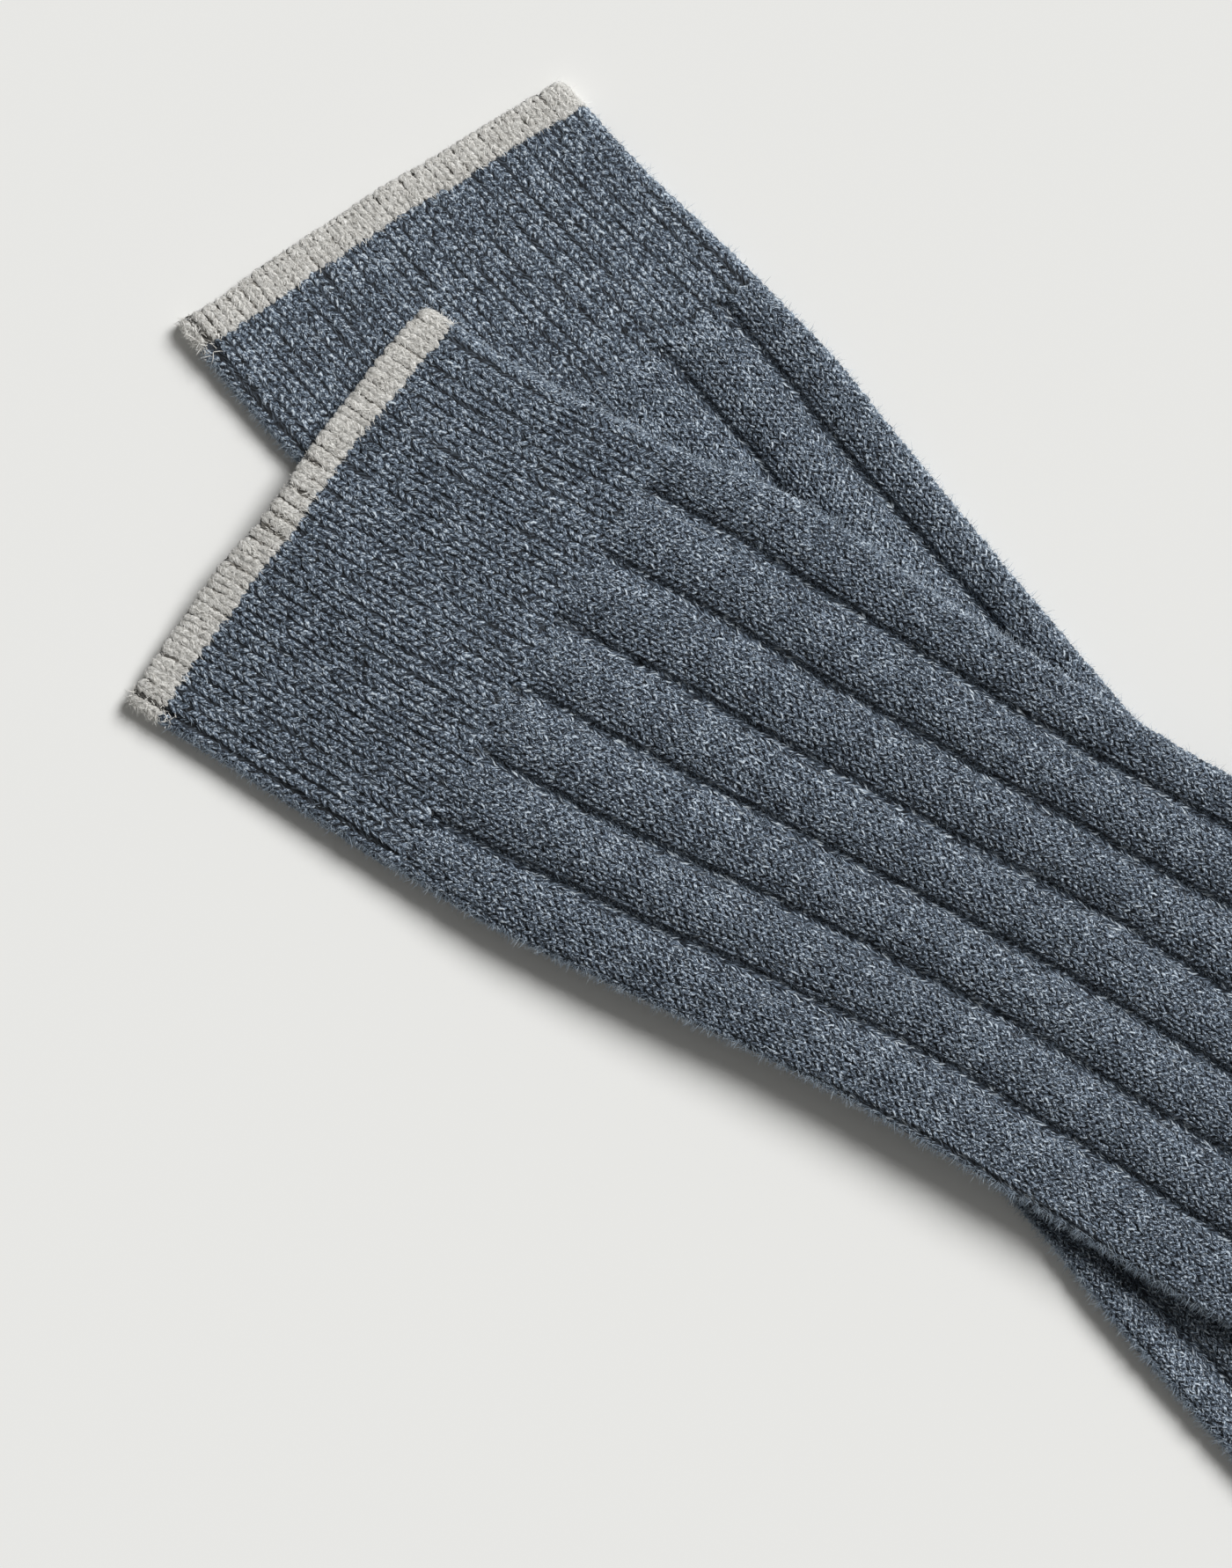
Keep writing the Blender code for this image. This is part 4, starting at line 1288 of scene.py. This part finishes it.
def wale_stitches(sock, name, start, end, material, seed):
    """V stitches in every knit wale of a stretch's upper face."""
    rng = np.random.default_rng(seed + sock.seed)
    first_wale = 0.5 * (WALES_PER_RIB - KNIT_WALES) + 0.5
    rib, wale, along, side = np.meshgrid(
        np.arange(-1.0, GROOVES), np.arange(KNIT_WALES), np.arange(start, end, COURSE_MM),
        (-1.0, 1.0), indexing="ij")
    wale = (rib * WALES_PER_RIB + first_wale + wale).ravel()
    along, side = along.ravel(), side.ravel()
    amount = len(wale)
    middle, wale_width, upper_run = wale_places(sock, along, wale)
    sway = hills(sock.seed + 6, wale * 0.37, along / 30.0)
    along = along + LEG_SWAY * COURSE_MM * sway
    along = along + rng.normal(0.0, LEG_JITTER[0], amount)
    around = middle + side * WALE_HALF * wale_width + rng.normal(0.0, LEG_JITTER[1], amount)
    on_top = (around > -PAST_FOLD) & (around < upper_run + PAST_FOLD)
    along, around, side, wale_width = (v[on_top] for v in (along, around, side, wale_width))
    rise = rng.normal(LEG_RISE, LEG_JITTER[2], len(along))
    return lay_strands(
        sock, name, LEG_STRAND, COURSE_MM, wale_width, along, around, side, rise, STITCHED,
        LEG_SPREAD, material, rng)


fine_yarn = yarn_material("fine_melange_lambswool_yarn", BLUE_STOPS, 0.62, 3.7, 0.38, 1.8, 0.56)
for sock in SOCKS:
    for name, start, end, seed in (
            ("leg", sock.cuff + FIRST_COURSE, ANKLE, 400),
            ("foot", ANKLE + FOOT_GAP, TOE_START, 500)):
        stitches[sock.name, name] = wale_stitches(
            sock, f"{sock.name}_{name}_stitches", start, end, fine_yarn, seed)
print_faces(stitches)

# %% [markdown]
# ## Welt
# The first courses are knit in undyed yarn and roll over at the mouth.  The
# shell turns round the lip, and its stitches follow it, so the edge is knit from
# every side.  In places two columns have parted, which leaves a dark cleft across
# the band: the largest is the slit at the front corner.

# %% Welt shell and stitches
WELT_COURSE = 1.25
WELT_DROP = 0.44
WELT_STEP = 0.7
WELT_SHELL_START = 0.2  # past the lip's end, inside the mouth
LIP_END = LIP_REACH - 2.0 * LIP_ARC
WELT_CLEFTS = {
    "top_sock": (
        Cleft(12, 1.0, 3.0, 0.20), Cleft(13, 3.2, 2.4, 0.10), Cleft(14, 2.0, 3.6, 0.24),
        Cleft(15, 2.4, 3.6, 0.22), Cleft(16, 2.0, 3.4, 0.16), Cleft(17, 2.8, 4.0, 0.24),
        Cleft(18, 1.0, 3.0, 0.24), Cleft(20, 1.2, 2.6, 0.26), Cleft(23, 3.0, 2.4, 0.08),
        Cleft(6, 3.5, 2.6, 0.10), Cleft(9, 3.0, 2.4, 0.08), Cleft(3, 2.6, 2.6, 0.08),
        Cleft(30, 1.0, 9.0, 0.46)),
    "under_sock": (
        Cleft(24, 2.0, 3.0, 0.16), Cleft(19, 2.5, 2.6, 0.10), Cleft(9, 2.0, 2.6, 0.10),
        Cleft(30, 1.0, 9.0, 0.46)),
}

for sock in SOCKS:
    # the welt's ground shows in its clefts, darker than the yarn: painted shade
    shells[sock.name, "welt"] = stretch_shell(
        sock, "welt_ground", LIP_END + WELT_SHELL_START, WELT_LENGTH - SEAM_HALF, WELT_STEP,
        False, Layer(None, WELT_DROP), pale_ground_in_shade)
    stitches[sock.name, "welt"] = column_stitches(
        sock, f"{sock.name}_welt_stitches", WELT_STRAND,
        np.arange(WELT_LENGTH - FIRST_AWAY, LIP_REACH - 1.5 * LIP_ARC, -WELT_COURSE),
        pale_yarn, 200, WELT_DROP, WELT_CLEFTS[sock.name])
print_faces(stitches)

# %% [markdown]
# ## Nap
# Brushing lifts fibre ends out of the yarn.  Most lie along the stitch legs as
# pale and dark flecks.  Others stand off the folds, where light catches them, lie
# across the grooves, or make a ragged tuft at the mouth's front corner.  Each is a
# narrow strip of three triangles, and all of a stretch are one mesh.

# %% Nap
Nap = namedtuple("Nap", "length width lift scatter paleness")       # sizes in mm
FLECK = Nap(0.95, 0.10, 0.18, 0.30, 0.0)
# their paler tone is partly painted highlight, for light caught by the fuzz on the folds
LIT_RIM_HAIR = Nap(1.50, 0.055, 0.40, 0.75, 0.42)
TUFT_HAIR = Nap(1.60, 0.130, 0.45, 0.90, 0.30)
GROOVE_HAIR = Nap(1.20, 0.070, 0.35, 0.50, 0.25)
UNSTITCHED = Layer(None, 0.05)
NAP_SEED = 300
NAP_RISE = 0.30         # the roots start this high, on the strands' backs
LIFTS, LENGTHS, WIDTHS = (0.3, 1.4), (0.5, 1.5), (0.7, 1.3)     # spreads of a kind's own sizes
RIBBON_TURN = 0.35      # spread of how far the strips turn on edge
DROOP = 0.4
MIDDLE_AT, MIDDLE_BEND, TIP_BEND = 0.55, 0.1, 0.42      # shares of a strip's length
FRONT_RIM_HAIRS = 18.0  # for each millimetre of fold
BACK_RIM_HAIRS = 5.0
RIM_BAND = (0.2, 2.0)   # they root from here on in this breadth
TUFT_HAIRS = 90         # ragged ends at the mouth's front corner
TUFT_REACH = (-1.6, 8.0)
TUFT_BAND = 3.6
GROOVE_HAIRS = 3.6      # for each millimetre of groove
GROOVE_BANK = (0.65, 0.7)       # they root from here on in this breadth


def strips_mesh(name, root, direction, side, bend, length, width, tone):
    """Join many narrow strips, each two triangles and a tip, into one mesh."""
    half = 0.5 * width[:, None] * side
    length = length[:, None]
    middle = root + MIDDLE_AT * length * direction + MIDDLE_BEND * length * bend
    tip = root + length * direction + TIP_BEND * length * bend
    points = np.stack((root - half, root + half, middle - half, middle + half, tip), axis=1)
    shape = np.array(((0, 1, 3), (0, 3, 2), (2, 3, 4)))
    values = np.zeros((len(root), 5, 3), dtype=np.float32)
    values[..., 0] = tone[:, None]
    values[..., 1] = np.array((0.0, 0.0, 0.5, 0.5, 1.0))
    return joined_mesh(name, points, shape, values)


def nap_strips(sock, rng, kind, along, around, heading, layer):
    """Strips of one kind, headed by their angle from the way down the sock."""
    amount = len(along)
    root, down, across, normal, hollow, _ = cloth_frame(
        sock, along, around, np.full(amount, NAP_RISE), layer)
    heading = heading + rng.normal(0.0, kind.scatter, amount)
    flat = unit(down * np.cos(heading)[:, None] + across * np.sin(heading)[:, None])
    rising = kind.lift * rng.uniform(*LIFTS, amount)
    direction = unit(flat + normal * rising[:, None])
    turn = rng.normal(0.0, RIBBON_TURN, amount)
    ribbon = unit(np.cross(normal, flat) + normal * turn[:, None])
    bend = unit(rng.normal(0.0, 1.0, (amount, 3))) * kind.scatter - normal * DROOP * kind.lift
    length = kind.length * MM * rng.uniform(*LENGTHS, amount)
    width = kind.width * MM * rng.uniform(*WIDTHS, amount)
    tone = kind.paleness + (1.0 - kind.paleness) * rng.uniform(0.0, 1.0, amount)
    # painted shade: fibres in grooves and the crease are drawn darker
    tone = tone * (1.0 - 0.5 * hollow)
    keep = is_open_to_view(sock, root)
    return tuple(part[keep] for part in (root, direction, ribbon, bend, length, width, tone))


def nap_piece(sock, name, start, end, flecks, layer, material):
    """Flecks over the upper face, hairs on both rims and hairs across the grooves."""
    rng = np.random.default_rng(NAP_SEED + sock.seed)
    length = end - start
    width = float(span(sock, np.array([0.5 * (start + end)]))[2][0])
    groups = []

    def scattered(amount):
        along = rng.uniform(start, end, int(amount))
        upper_run, _ = runs(span(sock, along)[2])
        return along, upper_run, rng.uniform(0.0, 1.0, len(along))

    def add_group(kind, along, around, heading):
        groups.append(nap_strips(sock, rng, kind, along, around, heading, layer))

    def either_side(amount):
        return np.where(rng.uniform(0.0, 1.0, amount) < 0.5, -1.0, 1.0)

    along, upper_run, share = scattered(length * width * flecks)
    add_group(FLECK, along, share * upper_run, either_side(len(along)) * V_LEAN)
    for at_front, per_mm in ((True, FRONT_RIM_HAIRS), (False, BACK_RIM_HAIRS)):
        along, upper_run, share = scattered(length * per_mm)
        from_fold = RIM_BAND[0] + RIM_BAND[1] * share
        around = upper_run - from_fold if at_front else from_fold
        heading = np.full(len(along), (0.5 if at_front else -0.5) * math.pi)
        add_group(LIT_RIM_HAIR, along, around, heading)
    if start < 0.0:
        _, upper_run, share = scattered(TUFT_HAIRS)
        along = rng.uniform(*TUFT_REACH, len(share))
        heading = rng.uniform(0.0, 2.0 * math.pi, len(share))
        add_group(TUFT_HAIR, along, upper_run - TUFT_BAND * share, heading)
    if layer == STITCHED:
        along, _, share = scattered(length * GROOVES * GROOVE_HAIRS)
        wale = WALES_PER_RIB * rng.integers(0, GROOVES, len(along))
        middle, _, _ = wale_places(sock, along, wale)
        side = either_side(len(along))
        around = middle + side * (GROOVE_BANK[0] + GROOVE_BANK[1] * share)
        add_group(GROOVE_HAIR, along, around, -side * 0.5 * math.pi)
    parts = (np.concatenate(group) for group in zip(*groups))
    return add_piece(strips_mesh(f"{sock.name}_{name}_nap", *parts), material)


NAP_STOPS = ((0.00, "#20262e"), (0.40, "#56616d"), (0.70, "#8593a1"), (1.00, "#bcc7d1"))
PALE_NAP_STOPS = ((0.00, "#a8a59f"), (0.50, "#d8d6d1"), (1.00, "#f4f3ef"))
blue_nap = yarn_material("brushed_up_wool_fibres", NAP_STOPS, 0.9, 1.0, 0.0)
pale_nap = yarn_material("brushed_up_ecru_fibres", PALE_NAP_STOPS, 0.9, 1.0, 0.0)
naps = {}
for sock in SOCKS:
    # stretch, start, end, flecks for each square millimetre, layer and material
    for name, *plan in (
            ("welt", -1.8, WELT_LENGTH, 3.0, UNSTITCHED, pale_nap),
            ("cuff", WELT_LENGTH, sock.cuff, 0.9, UNSTITCHED, blue_nap),
            ("leg", sock.cuff, ANKLE, 0.55, STITCHED, blue_nap),
            ("foot", ANKLE, TOE_START, 0.15, STITCHED, blue_nap),
            ("toe", TOE_START, SOCK_LENGTH - 6.0, 0.5, PLAIN, blue_nap)):
        naps[sock.name, name] = nap_piece(sock, name, *plan)
print_faces(naps)

# %% Sheets
for (sock_name, stretch_name), piece in shells.items():
    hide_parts(f"{sock_name}_{stretch_name}")
print(len(shells), "sheets declared")

# %% [markdown]
# ## Floor
# The socks lie on a pale paper sweep.  It is a plain square, large enough that no
# camera sees its edge, and matt, so that it takes the soft shadow and no shine.

# %% Floor
FLOOR_HALF = 5.0
floor_data = bpy.data.meshes.new("floor")
corners = [(x * FLOOR_HALF, y * FLOOR_HALF, 0) for x, y in ((-1, -1), (1, -1), (1, 1), (-1, 1))]
floor_data.from_pydata(corners, [], [(0, 1, 2, 3)])
paper = bpy.data.materials.new("matt_paper_sweep")
paper.use_nodes = True
for setting, value in (
        ("Base Color", linear("#e9e9e7")), ("Roughness", 1.0), ("Specular IOR Level", 0.0)):
    paper.node_tree.nodes["Principled BSDF"].inputs[setting].default_value = value
floor_data.materials.append(paper)
floor = bpy.data.objects.new("floor", floor_data)
bpy.context.scene.collection.objects.link(floor)
floor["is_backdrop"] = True
print("floor:", 2.0 * FLOOR_HALF, "m wide")

# %% [markdown]
# ## Light
# The photo's shadows fall to the lower left and fade softly, so one large soft
# light stands to the upper right, about 45 degrees above the floor.  A sun with
# a wide angle gives the same shade everywhere, and the room fills it a little.

# %% Light
KEY_AZIMUTH = math.radians(45)
KEY_HEIGHT = math.radians(44.5)
KEY_SOFTNESS = math.radians(29)
KEY_STRENGTH = 3.61
FILL_STRENGTH = 0.18

key = bpy.data.objects.new("key_light", bpy.data.lights.new("key_light", "SUN"))
key.data.energy = KEY_STRENGTH
key.data.angle = KEY_SOFTNESS
towards_key = Vector((
    math.cos(KEY_AZIMUTH) * math.cos(KEY_HEIGHT),
    math.sin(KEY_AZIMUTH) * math.cos(KEY_HEIGHT),
    math.sin(KEY_HEIGHT)))
key.rotation_euler = towards_key.to_track_quat("Z", "Y").to_euler()
bpy.context.scene.collection.objects.link(key)

world = bpy.data.worlds.new("studio_fill")
world.use_nodes = True
world.node_tree.nodes["Background"].inputs["Color"].default_value = linear("#fffefa")
world.node_tree.nodes["Background"].inputs["Strength"].default_value = FILL_STRENGTH
bpy.context.scene.world = world
bpy.context.scene.view_settings.view_transform = "Standard"
print("key light points down along", [round(-value, 3) for value in towards_key])

# %% [markdown]
# ## Camera
# The photo is taken from straight above, with no spread of the legs' sides, so a
# long lens stands far off.  The frame's height in the room comes from the photo's
# own height in pixels and the scale that the knit's gauge gives.

# %% Camera
PHOTO_HEIGHT = 1782             # pixels
PIXELS_PER_MM = 6.27
FRAME_CENTRE = (-0.09123, 0.11046)
FRAME_HEIGHT = PHOTO_HEIGHT / PIXELS_PER_MM * MM
CAMERA_DISTANCE = 2.2
SENSOR = 36.0

camera_data = bpy.data.cameras.new("camera")
camera_data.sensor_fit = "VERTICAL"
camera_data.sensor_height = SENSOR
camera_data.lens = SENSOR * CAMERA_DISTANCE / FRAME_HEIGHT
camera_data.clip_end = 20.0
camera = bpy.data.objects.new("camera", camera_data)
camera.location = (*FRAME_CENTRE, CAMERA_DISTANCE)
bpy.context.scene.collection.objects.link(camera)
bpy.context.scene.camera = camera
print("lens:", round(camera_data.lens, 1), "mm")

# %% [markdown]
# ## Sizes
# Last comes a count of triangles.

# %% Record the sizes
triangles = {}
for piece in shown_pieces():
    if piece.type == "MESH":
        triangles[piece.name] = sum(len(face.vertices) - 2 for face in piece.data.polygons)
print("triangles:", triangles, "in all:", sum(triangles.values()))
